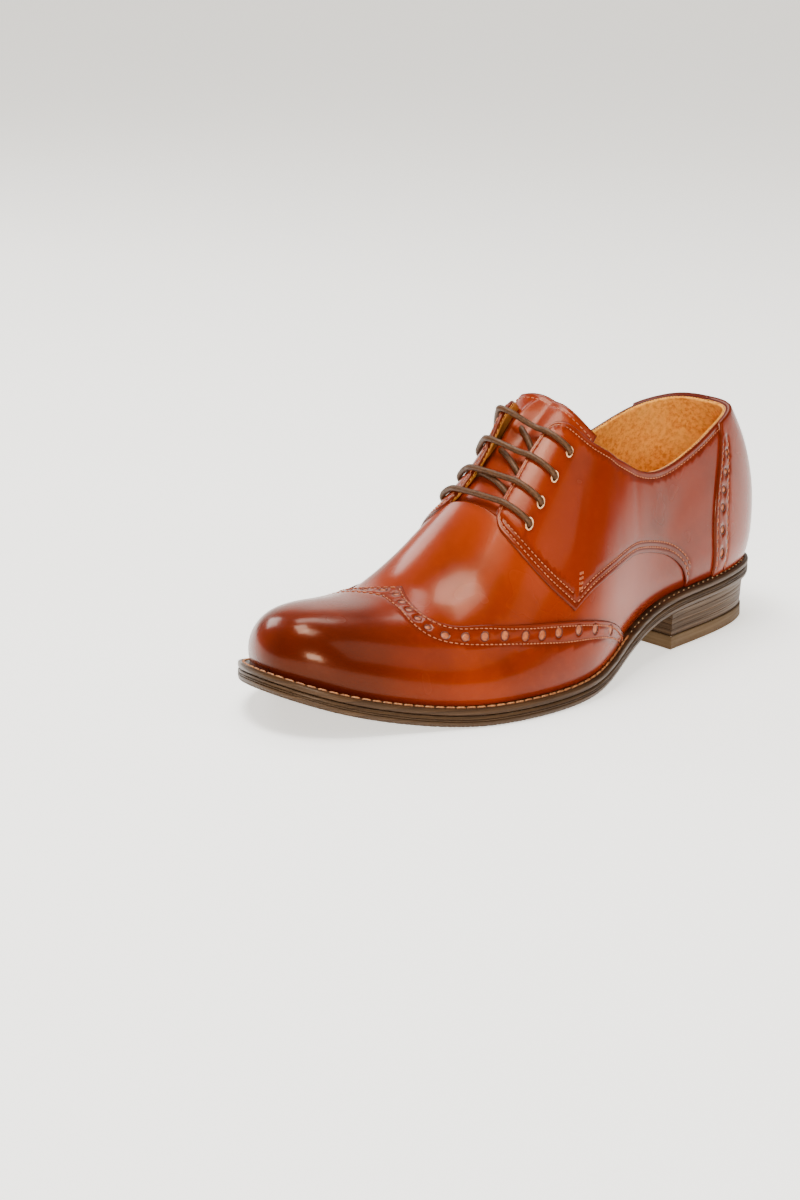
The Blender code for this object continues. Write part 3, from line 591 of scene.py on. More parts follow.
def lowered(field, depth):
    """A height field let down by a depth."""
    def low_field(points):
        return field(points) - depth

    return low_field


# Meshes
def make(name, verts, faces, material, normals=None, values=None):
    """One mesh object, smooth, with its own normals where they are given."""
    mesh = bpy.data.meshes.new(name)
    mesh.from_pydata([tuple(p) for p in verts], [], [tuple(int(i) for i in f) for f in faces])
    mesh.materials.append(material)
    mesh.shade_smooth()
    for label, numbers in (values or {}).items():
        field = mesh.attributes.new(label, "FLOAT", "POINT")
        field.data.foreach_set("value", np.asarray(numbers, np.float32))
    if normals is not None:
        mesh.normals_split_custom_set_from_vertices([tuple(n) for n in normals])
    made = bpy.data.objects.new(name, mesh)
    bpy.context.scene.collection.objects.link(made)
    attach(made, "root")
    return made


def triangulated(outline, guides, holes, pitch):
    """Triangles over an outline, with every guide line among their edges."""
    loop = np.vstack([outline, outline[:1]])
    low, high = outline.min(0), outline.max(0)
    grid = []
    for row, x in enumerate(np.arange(low[0], high[0], pitch * 0.87)):
        ys = np.arange(low[1] + pitch * (0.5 if row % 2 else 0.0), high[1], pitch)
        grid.append(np.column_stack([np.full(len(ys), x), ys]))
    grid = np.vstack(grid)
    grid = grid[inside(grid, outline)]
    for hole in holes:
        grid = grid[~inside(grid, hole)]
    lines = [loop] + list(guides) + list(holes)
    near = np.minimum(distance_to_lines(grid, [loop] + list(holes)), distance_to_lines(grid, guides) * 1.4)
    grid = grid[near > pitch * 0.5]
    verts, edges = [], []
    for line in lines:
        first = len(verts)
        verts += [Vector(p) for p in line]
        edges += [(first + i, first + i + 1) for i in range(len(line) - 1)]
    verts += [Vector(p) for p in grid]
    result = delaunay_2d_cdt(verts, edges, [], 0, 1e-7)
    points = np.array([tuple(v) for v in result[0]])
    faces = np.array(result[2])
    middle = points[faces].mean(1)
    keep = inside(middle, outline)
    for hole in holes:
        keep &= ~inside(middle, hole)
    faces = faces[keep]
    used, local = np.unique(faces, return_inverse=True)
    return points[used], local.reshape(faces.shape)


def free_runs(loop):
    """The parts of an outline away from the feather edge, where the sheet shows a cut or folded edge."""
    turning = from_pattern(loop)[1]
    free = turning * (1 - turning) > 1e-4
    runs = np.split(np.arange(len(loop)), np.nonzero(np.diff(free))[0] + 1)
    return [loop[run] for run in runs if free[run[0]] and len(run) > 1]


def sheet(outline, field, depth, guides=(), holes=(), seams=(), pitch=FINE, inward=False, rim=RIM):
    """A leather sheet over the pattern: its face, rounded at the rim, and the wall of its edge."""
    loop = np.vstack([outline, outline[:1]])
    ring = [h[:-1].mean(0) + (h - h[:-1].mean(0)) * (1 + rim / EYELET_RADIUS) for h in holes]
    guides = list(guides) + ring + inset_lines(loop, rim, outline)
    points, faces = triangulated(outline, guides, holes, pitch)
    turn = -1.0 if inward else 1.0
    edges = free_runs(loop) + list(holes)

    def height(p):
        near = distance_to_lines(p, edges)
        bend = np.clip(1 - near / rim, 0, 1)
        return field(p) - turn * 0.6 * rim * bend ** 2

    small = 1e-4
    level = height(points)
    base = lifted(points, 0)
    step, turning = from_pattern(points)
    normal = last_normal(step, turning)
    run_x = lifted(points + (small, 0), 0) - lifted(points - (small, 0), 0)
    run_y = lifted(points + (0, small), 0) - lifted(points - (0, small), 0)
    run_x /= np.maximum(np.linalg.norm(run_x, axis=1), 1e-9)[:, None]
    run_y /= np.maximum(np.linalg.norm(run_y, axis=1), 1e-9)[:, None]
    slope_x = (height(points + (small, 0)) - height(points - (small, 0))) / (2 * small)
    slope_y = (height(points + (0, small)) - height(points - (0, small))) / (2 * small)
    place = base + normal * level[:, None]
    facing = normal - slope_x[:, None] * run_x - slope_y[:, None] * run_y
    count = len(points)
    corner = points[faces]
    area = np.cross(corner[:, 1] - corner[:, 0], corner[:, 2] - corner[:, 0])
    faces[area < 0] = faces[area < 0][:, ::-1]
    open_edges = {}
    for a, b, c in faces:
        for edge in ((a, b), (b, c), (c, a)):
            if edge[::-1] in open_edges:
                del open_edges[edge[::-1]]
            else:
                open_edges[edge] = True
    outward = np.zeros((count, 2))
    for a, b in open_edges:
        run = points[b] - points[a]
        away = np.array([run[1], -run[0]]) / max(np.linalg.norm(run), 1e-12)
        outward[a] += away
        outward[b] += away
    border = np.array(sorted({i for edge in open_edges for i in edge}))
    outward[border] /= np.maximum(np.linalg.norm(outward[border], axis=1), 1e-9)[:, None]
    across = outward[:, :1] * run_x + outward[:, 1:] * run_y
    at_feather = turning[border] * (1 - turning[border]) < 1e-4
    facing[border] = normal[border] + turn * across[border] * np.where(at_feather, 0.0, 1.0)[:, None]
    facing *= turn
    facing /= np.maximum(np.linalg.norm(facing, axis=1), 1e-9)[:, None]
    order = {int(v): k for k, v in enumerate(border)}
    wall_top = place[border]
    wall_low = place[border] - normal[border] * depth * turn
    verts = np.vstack([place, wall_top, wall_low])
    normals = np.vstack([facing, facing[border], across[border]])
    upper_first, lower_first = count, count + len(border)
    pattern_faces = [tuple(f) for f in faces]
    walls = []
    for a, b in open_edges:
        i, j = order[int(a)], order[int(b)]
        walls.append((upper_first + j, upper_first + i, lower_first + i, lower_first + j))
    every = pattern_faces + walls
    if inward:
        every = [face[::-1] for face in every]
    # painted shade in the rim value: darker along cut edges and round holes, partly edge dye and partly
    # painted shade, and darker in the seam grooves as painted shade
    shade = np.exp(-distance_to_lines(points, edges) / 0.0007)
    if len(seams):
        shade = np.maximum(shade, 0.85 * np.exp(-(distance_to_lines(points, seams) / 0.00070) ** 2))
    shade = np.concatenate([shade, shade[border], shade[border]])
    return verts, every, normals, shade


def two_sided(outline, field, depth, guides=(), holes=(), seams=(), **finish):
    """The same sheet on the lateral and on the medial side."""
    parts = []
    for turn in (unchanged, mirrored):
        lines = [[turn(line) for line in group] for group in (guides, holes, seams)]
        parts.append(sheet(turn(outline), field, depth, *lines, **finish))
    return parts


def joined(parts):
    """Several meshes as one."""
    verts, faces, normals, shades = [], [], [], []
    first = 0
    for v, f, n, s in parts:
        verts.append(v)
        normals.append(n)
        shades.append(s)
        faces += [tuple(int(i) + first for i in face) for face in f]
        first += len(v)
    return np.vstack(verts), faces, np.vstack(normals), np.concatenate(shades)


def make_sheet(name, parts, material):
    verts, faces, normals, shades = joined(parts)
    return make(name, verts, faces, material, normals, {"rim": shades})


def ring_faces(rings, sides, closed=False):
    """Faces between rings of points that have the same number of sides."""
    faces = []
    for r in range(rings if closed else rings - 1):
        after = (r + 1) % rings
        for i in range(sides):
            j = (i + 1) % sides
            faces.append((r * sides + i, r * sides + j, after * sides + j, after * sides + i))
    return faces


def end_faces(rings, sides):
    return [tuple(range(sides))[::-1], tuple((rings - 1) * sides + i for i in range(sides))]


# Stations of one thread: share of its length, size of its ring
RING_SHARES = np.array([0.0, 0.05, 0.20, 0.80, 0.95, 1.0])
RING_SIZES = np.array([0.30, 0.72, 1.0, 1.0, 0.72, 0.30])


def capsules(name, starts, ends, ups, radius, material, sides=6):
    """Many short round-ended threads as one mesh."""
    starts, ends, ups = (np.vstack(a) for a in (starts, ends, ups))
    along = ends - starts
    along /= np.maximum(np.linalg.norm(along, axis=1), 1e-9)[:, None]
    side = np.cross(along, ups)
    side /= np.maximum(np.linalg.norm(side, axis=1), 1e-9)[:, None]
    above = np.cross(side, along)
    angle = np.linspace(0, 2 * math.pi, sides, endpoint=False)
    middle = starts[:, None] + (ends - starts)[:, None] * RING_SHARES[None, :, None]
    bow = 0.5 * radius * (1 - (2 * RING_SHARES - 1) ** 2)
    middle = middle + above[:, None] * bow[None, :, None]
    spoke = side[:, None] * np.cos(angle)[None, :, None] + above[:, None] * np.sin(angle)[None, :, None]
    verts = middle[:, :, None] + radius * RING_SIZES[None, :, None, None] * spoke[:, None]
    rings = len(RING_SHARES)
    size = rings * sides
    pattern = ring_faces(rings, sides) + end_faces(rings, sides)
    faces = []
    for k in range(len(starts)):
        faces += [tuple(i + k * size for i in f) for f in pattern]
    return make(name, verts.reshape(-1, 3), faces, material)


def seam_threads(seams, field, pitch=STITCH_PITCH, length=STITCH_LENGTH, radius=THREAD_RADIUS):
    """Starts, ends and upward directions of the stitches of several seams."""
    starts, ends, ups = [], [], []
    for line in seams:
        whole = path_length(line)[-1]
        count = int(whole / pitch)
        if count < 1:
            continue
        middle = (np.arange(count) + 0.5) * whole / count
        for tips, offset in ((starts, -length / 2), (ends, length / 2)):
            p = along_line(line, middle + offset)
            tips.append(lifted(p, field(p) + radius * 0.35))
        ups.append(last_normal(*from_pattern(along_line(line, middle))))
    return starts, ends, ups


def tube(points, radius, sides=14, ripple=CORD_RIPPLE, ripple_pitch=0.0016):
    """A round cord along a line, with a braided ripple. Gives its verts and faces."""
    points = np.asarray(points)
    along = np.gradient(points, axis=0)
    along /= np.linalg.norm(along, axis=1)[:, None]
    reach = path_length(points)
    side = np.cross(along[0], (0.3, 0.4, 0.87))
    sides_made = []
    for direction in along:
        side = side - direction * (side @ direction)
        side = side / np.linalg.norm(side)
        sides_made.append(side)
    side = np.array(sides_made)
    other = np.cross(along, side)
    angle = np.linspace(0, 2 * math.pi, sides, endpoint=False)
    phase = 2 * math.pi * reach[:, None] / ripple_pitch
    wave = np.sin(phase + 3 * angle) * np.sin(phase - 3 * angle)
    size = radius * (1 + ripple * wave)
    spoke = np.cos(angle)[None, :, None] * side[:, None] + np.sin(angle)[None, :, None] * other[:, None]
    verts = points[:, None] + size[:, :, None] * spoke
    return verts.reshape(-1, 3), ring_faces(len(points), sides) + end_faces(len(points), sides)


def merged(parts):
    verts, faces = [], []
    first = 0
    for v, f in parts:
        verts.append(v)
        faces += [tuple(int(i) + first for i in face) for face in f]
        first += len(v)
    return np.vstack(verts), faces


# Materials
class Shader:
    """A Principled material with a few helpers for its nodes."""

    def __init__(self, name, roughness=0.5, **fixed):
        self.material = bpy.data.materials.new(name)
        self.material.use_nodes = True
        self.tree = self.material.node_tree
        self.main = self.tree.nodes["Principled BSDF"]
        self.main.inputs["Roughness"].default_value = roughness
        for socket, value in fixed.items():
            self.main.inputs[socket.replace("_", " ")].default_value = value
        self.place = self.tree.nodes.new("ShaderNodeTexCoord").outputs["Object"]

    def node(self, kind, **inputs):
        made = self.tree.nodes.new(kind)
        for socket, value in inputs.items():
            self.set(made.inputs[socket.replace("_", " ")], value)
        return made

    def set(self, socket, value):
        if isinstance(value, bpy.types.NodeSocket):
            self.tree.links.new(value, socket)
        else:
            socket.default_value = value

    def noise(self, scale, detail=3.0, roughness=0.55, distortion=0.0, place=None):
        return self.node("ShaderNodeTexNoise", Vector=place or self.place, Scale=scale, Detail=detail,
                         Roughness=roughness, Distortion=distortion).outputs[0]

    def stretched(self, x, y, z):
        return self.node("ShaderNodeMapping", Vector=self.place, Scale=(x, y, z)).outputs[0]

    def cells(self, scale):
        made = self.node("ShaderNodeTexVoronoi", Vector=self.place, Scale=scale)
        return made.outputs["Distance"]

    def ranged(self, value, low, high, first=0.0, second=1.0):
        made = self.node("ShaderNodeMapRange")
        made.interpolation_type = "SMOOTHSTEP"
        self.set(made.inputs[0], value)
        for k, number in enumerate((low, high, first, second), 1):
            made.inputs[k].default_value = number
        return made.outputs[0]

    def math(self, operation, first, second=0.5):
        made = self.tree.nodes.new("ShaderNodeMath")
        made.operation = operation
        self.set(made.inputs[0], first)
        self.set(made.inputs[1], second)
        return made.outputs[0]

    def faded(self, value, factor):
        return self.math("MULTIPLY", value, factor)

    def mix(self, factor, first, second):
        made = self.tree.nodes.new("ShaderNodeMix")
        made.data_type = "RGBA"
        self.set(made.inputs[0], factor)
        for socket, value in ((made.inputs[6], first), (made.inputs[7], second)):
            if isinstance(value, tuple):
                value = (*value, 1.0)
            self.set(socket, value)
        return made.outputs[2]

    def field(self, label):
        made = self.tree.nodes.new("ShaderNodeAttribute")
        made.attribute_name = label
        return made.outputs["Fac"]

    def axis(self, name):
        return self.node("ShaderNodeSeparateXYZ", Vector=self.place).outputs[name]

    def color(self, value):
        self.set(self.main.inputs["Base Color"], value)

    def rough(self, value):
        self.set(self.main.inputs["Roughness"], value)

    def bump(self, value, strength, distance=0.0002):
        made = self.node("ShaderNodeBump", Height=value, Strength=strength, Distance=distance)
        self.set(self.main.inputs["Normal"], made.outputs[0])


def leather(name, light, middle, dark, gloss=0.22, coat=0.06, toe=0.0):
    """Glossy brush-off leather: a clear base, darker clouds rubbed into it, edges partly dyed dark and
    partly painted shade, and painted shade round holes and in seam grooves.
    """
    made = Shader(name, gloss, Coat_Weight=coat, Coat_Roughness=0.07,
                  Specular_IOR_Level=0.26, Specular_Tint=(1.0, 0.52, 0.27, 1.0))
    cloud = made.noise(14, 2.0, 0.5)
    color = made.mix(made.ranged(cloud, 0.25, 0.75), light, middle)
    smoke = made.noise(22, 3.0, 0.55)
    color = made.mix(made.faded(made.ranged(smoke, 0.42, 0.90), 0.80), color, dark)
    fleck = made.noise(300, 2.0, 0.5)
    color = made.mix(made.faded(made.ranged(fleck, 0.45, 0.85), 0.22), color, light)
    if toe > 0:
        burnish = made.ranged(made.axis("Y"), -0.070, -0.128, 0.0, toe)
        patch = made.faded(burnish, made.ranged(made.noise(24, 3, 0.5), 0.25, 0.70, 0.45, 1.0))
        color = made.mix(patch, color, dark)
    # painted shade from the rim value: darker along edges and round holes (partly edge dye) and in the seam
    # grooves
    color = made.mix(made.faded(made.field("rim"), 0.75), color, dark)
    made.color(color)
    made.rough(made.ranged(made.noise(40, 2), 0.2, 0.8, gloss - 0.04, gloss + 0.08))
    grain = made.math("ADD", made.noise(1500, 2), made.noise(420, 2, 0.5))
    made.bump(grain, 0.06, 0.00025)
    return made.material


def suede():
    made = Shader("heel_lining", 0.92, Sheen_Weight=0.15, Sheen_Roughness=0.5,
                  Sheen_Tint=(1.0, 0.62, 0.28, 1.0), Specular_IOR_Level=0.1)
    nap = made.ranged(made.noise(480, 4, 0.75), 0.38, 0.64)
    color = made.mix(nap, (1.0, 0.42, 0.048), (0.64, 0.19, 0.012))
    color = made.mix(made.ranged(made.noise(40, 3), 0.4, 0.7, 0.0, 0.45), color, (1.0, 0.50, 0.08))
    made.color(color)
    made.bump(made.noise(620, 4, 0.75), 0.80, 0.0010)
    return made.material


def smooth_lining(name, light, dark):
    made = Shader(name, 0.42, Coat_Weight=0.15, Coat_Roughness=0.3)
    color = made.mix(made.ranged(made.noise(60, 4), 0.35, 0.7), light, dark)
    # painted shade from the rim value along the lining's edges and round its holes, partly edge dye
    color = made.mix(made.faded(made.field("rim"), 0.5), color, dark)
    made.color(color)
    made.bump(made.cells(900), 0.10, 0.0002)
    return made.material


def thread(name, light, dark, roughness=0.55):
    made = Shader(name, roughness)
    made.color(made.mix(made.ranged(made.noise(900, 2), 0.35, 0.65), light, dark))
    made.bump(made.noise(3000, 2), 0.3, 0.0001)
    return made.material


def waxed_cord():
    made = Shader("lace_finish", 0.42, Specular_IOR_Level=0.35, Specular_Tint=(1.0, 0.75, 0.55, 1.0))
    weave = made.ranged(made.noise(1200, 3), 0.35, 0.7)
    made.color(made.mix(weave, (0.080, 0.030, 0.010), (0.026, 0.009, 0.003)))
    made.bump(made.noise(2600, 3, 0.6), 0.35, 0.0002)
    return made.material


def edge_finish(name, light, dark, lines, gloss=0.38, coat=0.2, strength=0.25):
    """Burnished sole edge with fine lines along it."""
    made = Shader(name, gloss, Coat_Weight=coat, Coat_Roughness=0.25, Specular_IOR_Level=0.28,
                  Specular_Tint=(1.0, 0.72, 0.48, 1.0))
    streak = made.noise(1.0, 4, 0.65, 0.0, made.stretched(14, 14, lines))
    color = made.mix(made.ranged(streak, 0.32, 0.68), light, dark)
    color = made.mix(made.ranged(made.noise(48, 3), 0.45, 0.75, 0.0, 0.5), color, dark)
    made.color(color)
    made.rough(made.ranged(streak, 0.3, 0.7, gloss - 0.08, gloss + 0.14))
    made.bump(streak, strength, 0.0004)
    return made.material


QUARTER_COLORS = ((0.215, 0.0170, 0.0006), (0.145, 0.0088, 0.0004), (0.045, 0.0030, 0.0003))
VAMP_COLORS = ((0.250, 0.0235, 0.0007), (0.170, 0.0120, 0.0005), (0.050, 0.0035, 0.0004))
TONGUE_COLORS = ((0.200, 0.0160, 0.0008), (0.130, 0.0085, 0.0005), (0.045, 0.0030, 0.0004))
quarter_leather = leather("quarter_leather", *QUARTER_COLORS)
vamp_leather = leather("vamp_leather", *VAMP_COLORS)
cap_leather = leather("cap_leather", *VAMP_COLORS, toe=0.95)
strip_leather = leather("strip_leather", *VAMP_COLORS)
tongue_leather = leather("tongue_leather", *TONGUE_COLORS, gloss=0.26)
suede_lining = suede()
front_lining = smooth_lining("front_lining", (0.85, 0.36, 0.060), (0.62, 0.22, 0.028))
sock_lining = smooth_lining("sock_lining", (0.60, 0.33, 0.12), (0.44, 0.21, 0.06))
upper_thread = thread("upper_thread", (0.46, 0.125, 0.036), (0.27, 0.060, 0.015))
lining_thread = thread("lining_thread", (0.80, 0.55, 0.22), (0.60, 0.36, 0.12))
welt_thread = thread("welt_thread", (0.52, 0.20, 0.06), (0.26, 0.085, 0.025))
dot_thread = thread("dot_thread", (0.62, 0.42, 0.22), (0.45, 0.26, 0.11))
lace_material = waxed_cord()
punch_floor = thread("punch_floor", (0.42, 0.100, 0.020), (0.30, 0.055, 0.010), 0.40)
# painted shade: the dark colour of the rings round the punched holes
punch_shade_ring = thread("punch_shade_ring", (0.10, 0.020, 0.008), (0.05, 0.010, 0.004), 0.45)
eyelet_rim = thread("eyelet_rim", (0.90, 0.54, 0.30), (0.75, 0.36, 0.15), 0.4)
welt_finish = edge_finish(
    "welt_finish", (0.055, 0.024, 0.009), (0.022, 0.009, 0.0035), 900, gloss=0.40, coat=0.05)
sole_finish = edge_finish(
    "sole_finish", (0.058, 0.028, 0.011), (0.025, 0.011, 0.0045), 1500, gloss=0.40, coat=0.05)
stack_finish = edge_finish(
    "stack_finish", (0.088, 0.044, 0.018), (0.026, 0.011, 0.004), 1300, gloss=0.45, coat=0.0, strength=0.5)
lift_finish = edge_finish(
    "lift_finish", (0.125, 0.076, 0.036), (0.080, 0.044, 0.019), 700, gloss=0.6, coat=0.0, strength=0.2)


# Camera of the photograph: place, turns in radians, lens and shift
CAMERA_PLACE = (0.7703, -0.8345, 0.3699)
CAMERA_YAW = 0.8015
CAMERA_PITCH = 0.2793
CAMERA_ROLL = 0.0265
CAMERA_LENS = 79.81
CAMERA_SHIFT = (0.0149, -0.0297)


def make_camera():
    yaw, pitch, roll = CAMERA_YAW, CAMERA_PITCH, CAMERA_ROLL
    level = math.cos(pitch)
    forward = np.array([-math.sin(yaw) * level, math.cos(yaw) * level, -math.sin(pitch)])
    right = np.array([math.cos(yaw), math.sin(yaw), 0.0])
    upward = np.cross(right, forward)
    level_x = right * math.cos(roll) + upward * math.sin(roll)
    level_y = -right * math.sin(roll) + upward * math.cos(roll)
    view = Matrix(np.column_stack([level_x, level_y, -forward]).tolist()).to_4x4()
    view.translation = CAMERA_PLACE
    data = bpy.data.cameras.new("camera")
    data.sensor_width = 36.0
    data.lens = CAMERA_LENS
    data.shift_x, data.shift_y = CAMERA_SHIFT
    camera = bpy.data.objects.new("camera", data)
    camera.matrix_world = view
    bpy.context.scene.collection.objects.link(camera)
    bpy.context.scene.camera = camera


# Upper
def feather_between(first_x, last_x):
    kept = (FEATHER_LINE[:, 0] > first_x + 1e-5) & (FEATHER_LINE[:, 0] < last_x - 1e-5)
    return FEATHER_LINE[kept]


def build_vamp():
    """The vamp runs from under the quarters to the tip of the toe, under the cap."""
    hidden = to_pattern(*columns(VAMP_HIDDEN))
    side = resample(np.vstack([hidden, to_pattern(*VAMP_THROAT)]), FINE, smooth=False)
    half = np.vstack([side[::-1], feather_between(side[0, 0], TOE_X)])
    throat_run = resample(np.array([mirrored(side)[-1], side[-1]]), FINE, smooth=False)[1:-1]
    outline = np.vstack([half, [[TOE_X, 0.0]], mirrored(half)[::-1], throat_run])
    vamp = make_sheet("vamp", [sheet(outline, vamp_height, VAMP_WALL)], vamp_leather)
    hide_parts("upper")


def eyelet_holes():
    return [circle(to_pattern(place, share), EYELET_RADIUS) for place, share in EYELETS]


def build_quarters():
    rear = feather_between(-1, QUARTER_LINE[-1, 0])
    outline = np.vstack([QUARTER_LINE, rear[::-1], BACK_LINE[:-1], TOP_LINE[:-1]])
    parts = two_sided(outline, quarter_height, QUARTER_EDGE, seam_guides(QUARTER_SEAMS), eyelet_holes(),
                      QUARTER_SEAMS)
    quarters = make_sheet("quarters", parts, quarter_leather)
    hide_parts("upper")


def build_cap():
    """The wing-tip cap. Its holes turn from round at the tip of the wing to leaning ovals on the flanks."""
    half = np.vstack([WING_LINE, feather_between(WING_LINE[-1, 0], TOE_X)])
    outline = np.vstack([half, [[TOE_X, 0.0]], mirrored(half)[::-1][:-1]])
    centres = to_pattern(*columns(WING_HOLES))
    holes = []
    for number, (centre, row) in enumerate(zip(centres, WING_HOLES)):
        radius = WING_HOLE * (0.72 if number < SMALL_HOLES else 1.0)
        stretch = 1 + 0.95 * min(max((0.745 - row[0]) / 0.13, 0), 1)
        holes.append(circle(centre, radius / stretch ** 0.45, stretch=stretch, lean=HOLE_LEAN))
    holes = both(holes)
    part = sheet(outline, cap_height, CAP_THICKNESS + GAP, seam_guides(ALL_WING_SEAMS), holes,
                 ALL_WING_SEAMS)
    cap = make_sheet("wing_cap", [part], cap_leather)
    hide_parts("toe_cap")
    return holes


def build_strip():
    rear = feather_between(-1, COUNTER_LINE[-1, 0])
    top = TOP_LINE[TOP_LINE[:, 0] < COUNTER_LINE[0, 0]]
    outline = np.vstack([COUNTER_LINE, rear[::-1], BACK_LINE[:-1], top])
    holes = [circle(centre, STRIP_HOLE, stretch=1.5) for centre in to_pattern(*columns(STRIP_HOLES))]
    parts = two_sided(outline, strip_height, COUNTER_THICKNESS + GAP, seam_guides(STRIP_SEAMS), holes,
                      STRIP_SEAMS)
    strip = make_sheet("heel_strip", parts, strip_leather)
    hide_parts("heel_counter")
    return both(holes)


def build_linings():
    """Suede round the heel, smooth leather forward of it and inside the vamp."""
    seam_x = float(to_pattern(LINING_SEAM, 0)[0])
    front_x = float(to_pattern(LINING_FRONT, 0)[0])
    top_rear = TOP_LINE[TOP_LINE[:, 0] < seam_x]
    top_front = TOP_LINE[TOP_LINE[:, 0] > seam_x]
    seam_top = (seam_x, np.interp(seam_x, *TOP_LINE.T))
    seam_low = (seam_x, np.interp(seam_x, *FEATHER_LINE.T))
    front_low = (front_x, np.interp(front_x, *FEATHER_LINE.T))
    seam = resample(np.array([seam_top, seam_low]), FINE, smooth=False)
    front_edge = resample(np.array([top_front[-1], front_low]), FINE, smooth=False)
    rear = np.vstack([seam, feather_between(-1, seam_x)[::-1], BACK_LINE[:-1], top_rear])
    front = np.vstack([seam[::-1], top_front[:-1], front_edge, feather_between(seam_x, front_x)[::-1]])
    finish = {"pitch": FINE * 1.4, "inward": True, "rim": LINING_RIM}
    rear_parts = two_sided(rear, lining_height, LINING_EDGE, **finish)
    front_parts = two_sided(front, lining_height, LINING_EDGE, holes=eyelet_holes(), **finish)
    heel_lining = make_sheet("heel_lining", rear_parts, suede_lining)
    quarter_lining = make_sheet("quarter_lining", front_parts, front_lining)
    for piece in (heel_lining, quarter_lining):
        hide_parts("upper")
    seam_rows = [np.column_stack([np.full(40, seam_x + offset), np.linspace(seam[1, 1], seam[-2, 1], 40)])
                 for offset in (0.0022, 0.0040)]
    starts, ends, ups = seam_threads(both(seam_rows), lowered(lining_height, 0.0002))
    stitches = capsules("lining_stitches", starts, ends, ups, 0.00026, lining_thread)


def build_tongue():
    """The tongue under the facings, standing up past them, with a turned and stitched edge."""
    rows, cols = 72, 64

    def shape(run, width, out):
        """run 0..1 goes from root to top, width -1..1 from the medial to the lateral edge."""
        widest = np.where(width > 0, TONGUE_LATERAL, TONGUE_MEDIAL)
        away = np.abs(width) * widest
        lateral_dip = 0.022 * (away / TONGUE_LATERAL) ** 2.8
        medial_dip = 0.007 * away / 0.030
        top = TONGUE_TOP - np.where(width > 0, lateral_dip, medial_dip)
        place = TONGUE_ROOT + (top - TONGUE_ROOT) * run
        step = unit(place)
        girth = np.interp(step, TABLE_STEPS, HALF_GIRTH)
        half = widest * (0.50 + 0.50 * np.clip(run / 0.75, 0, 1))
        from_ridge = np.abs(width) * half / girth
        turn = np.clip(0.5 - np.sign(width) * from_ridge / 2, 0, 1)
        points = last_point(step, turn)
        normals = last_normal(step, turn)
        rise = np.clip(from_ridge / 0.22, 0, 1)
        fall = np.clip((0.38 - from_ridge) / 0.12, 0, 1)
        near_top = np.clip((0.56 - place) / 0.095, 0, 1)
        curl = 0.0088 * rise ** 1.2 * fall * near_top ** 1.5
        beside = np.clip((0.45 - from_ridge) / 0.33, 0, 1) ** 2 * np.clip(from_ridge / 0.10, 0, 1) ** 1.5
        follow = 0.62 * (FACING_FLARE + INNER_CURL) * beside * flare_fade(place)
        curl = np.maximum(curl, follow) * (width < 0)
        level = out - (VAMP_WALL + TONGUE_GAP) + curl
        return points + normals * level[:, None]

    run = np.linspace(0, 1, rows)
    width = np.sin(np.linspace(-1, 1, cols) * math.pi / 2 * 0.92) / math.sin(math.pi / 2 * 0.92)
    runs, widths = (a.ravel() for a in np.meshgrid(run, width, indexing="ij"))
    half_width = np.where(widths > 0, TONGUE_LATERAL, TONGUE_MEDIAL)
    edge = np.minimum((1 - np.abs(widths)) * half_width, (1 - runs) * TONGUE_HEIGHT)
    rounding = -0.0008 * np.clip(1 - edge / 0.0010, 0, 1) ** 2
    groove = -0.00018 * np.exp(-((edge - TONGUE_SEAM) / 0.0006) ** 2)
    swell = 0.0004 * np.sin(runs * 9) * np.cos(widths * 2.2)
    top = shape(runs, widths, rounding + groove + swell)
    low = shape(runs, widths, -TONGUE_THICKNESS - rounding)
    count = rows * cols
    faces = []
    for i in range(rows - 1):
        for j in range(cols - 1):
            a = i * cols + j
            quad = (a, a + 1, a + cols + 1, a + cols)
            faces += [quad[::-1], tuple(k + count for k in quad)]
    rim = list(range(cols)) + [i * cols + cols - 1 for i in range(1, rows)]
    rim += [(rows - 1) * cols + j for j in range(cols - 2, -1, -1)]
    rim += [i * cols for i in range(rows - 2, 0, -1)]
    faces += [(b, a, a + count, b + count) for a, b in zip(rim, rim[1:] + rim[:1])]
    # painted shade in the rim value: darker towards the edge, partly edge dye and partly painted shade, and
    # the underside painted fully dark as painted shade
    shade = np.exp(-edge / 0.0012)
    tongue = make("tongue_leather_piece", np.vstack([top, low]), faces, tongue_leather,
                  values={"rim": np.concatenate([shade, np.ones(count)])})
    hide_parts("tongue")
    # stitches inside the edge, up one side, over the top and down the other
    medial_side = TONGUE_SEAM / TONGUE_MEDIAL - 1
    lateral_side = 1 - TONGUE_SEAM / TONGUE_LATERAL
    top_run = 1 - TONGUE_SEAM / TONGUE_HEIGHT
    path = np.vstack([
        np.column_stack([np.linspace(0.35, top_run, 80), np.full(80, medial_side)]),
        np.column_stack([np.full(90, top_run), np.linspace(medial_side, lateral_side, 90)]),
        np.column_stack([np.linspace(top_run, 0.35, 80), np.full(80, lateral_side)]),
    ])
    line = shape(path[:, 0], path[:, 1], np.full(len(path), -0.00010))
    middle = np.arange(STITCH_PITCH, path_length(line)[-1] - STITCH_PITCH, STITCH_PITCH)
    starts, ends = (along_line(line, middle + offset) for offset in (-STITCH_LENGTH / 2, STITCH_LENGTH / 2))
    ups = np.tile((0.0, -0.75, 0.65), (len(middle), 1))
    stitches = capsules("tongue_stitches", [starts], [ends], [ups], THREAD_RADIUS, upper_thread)


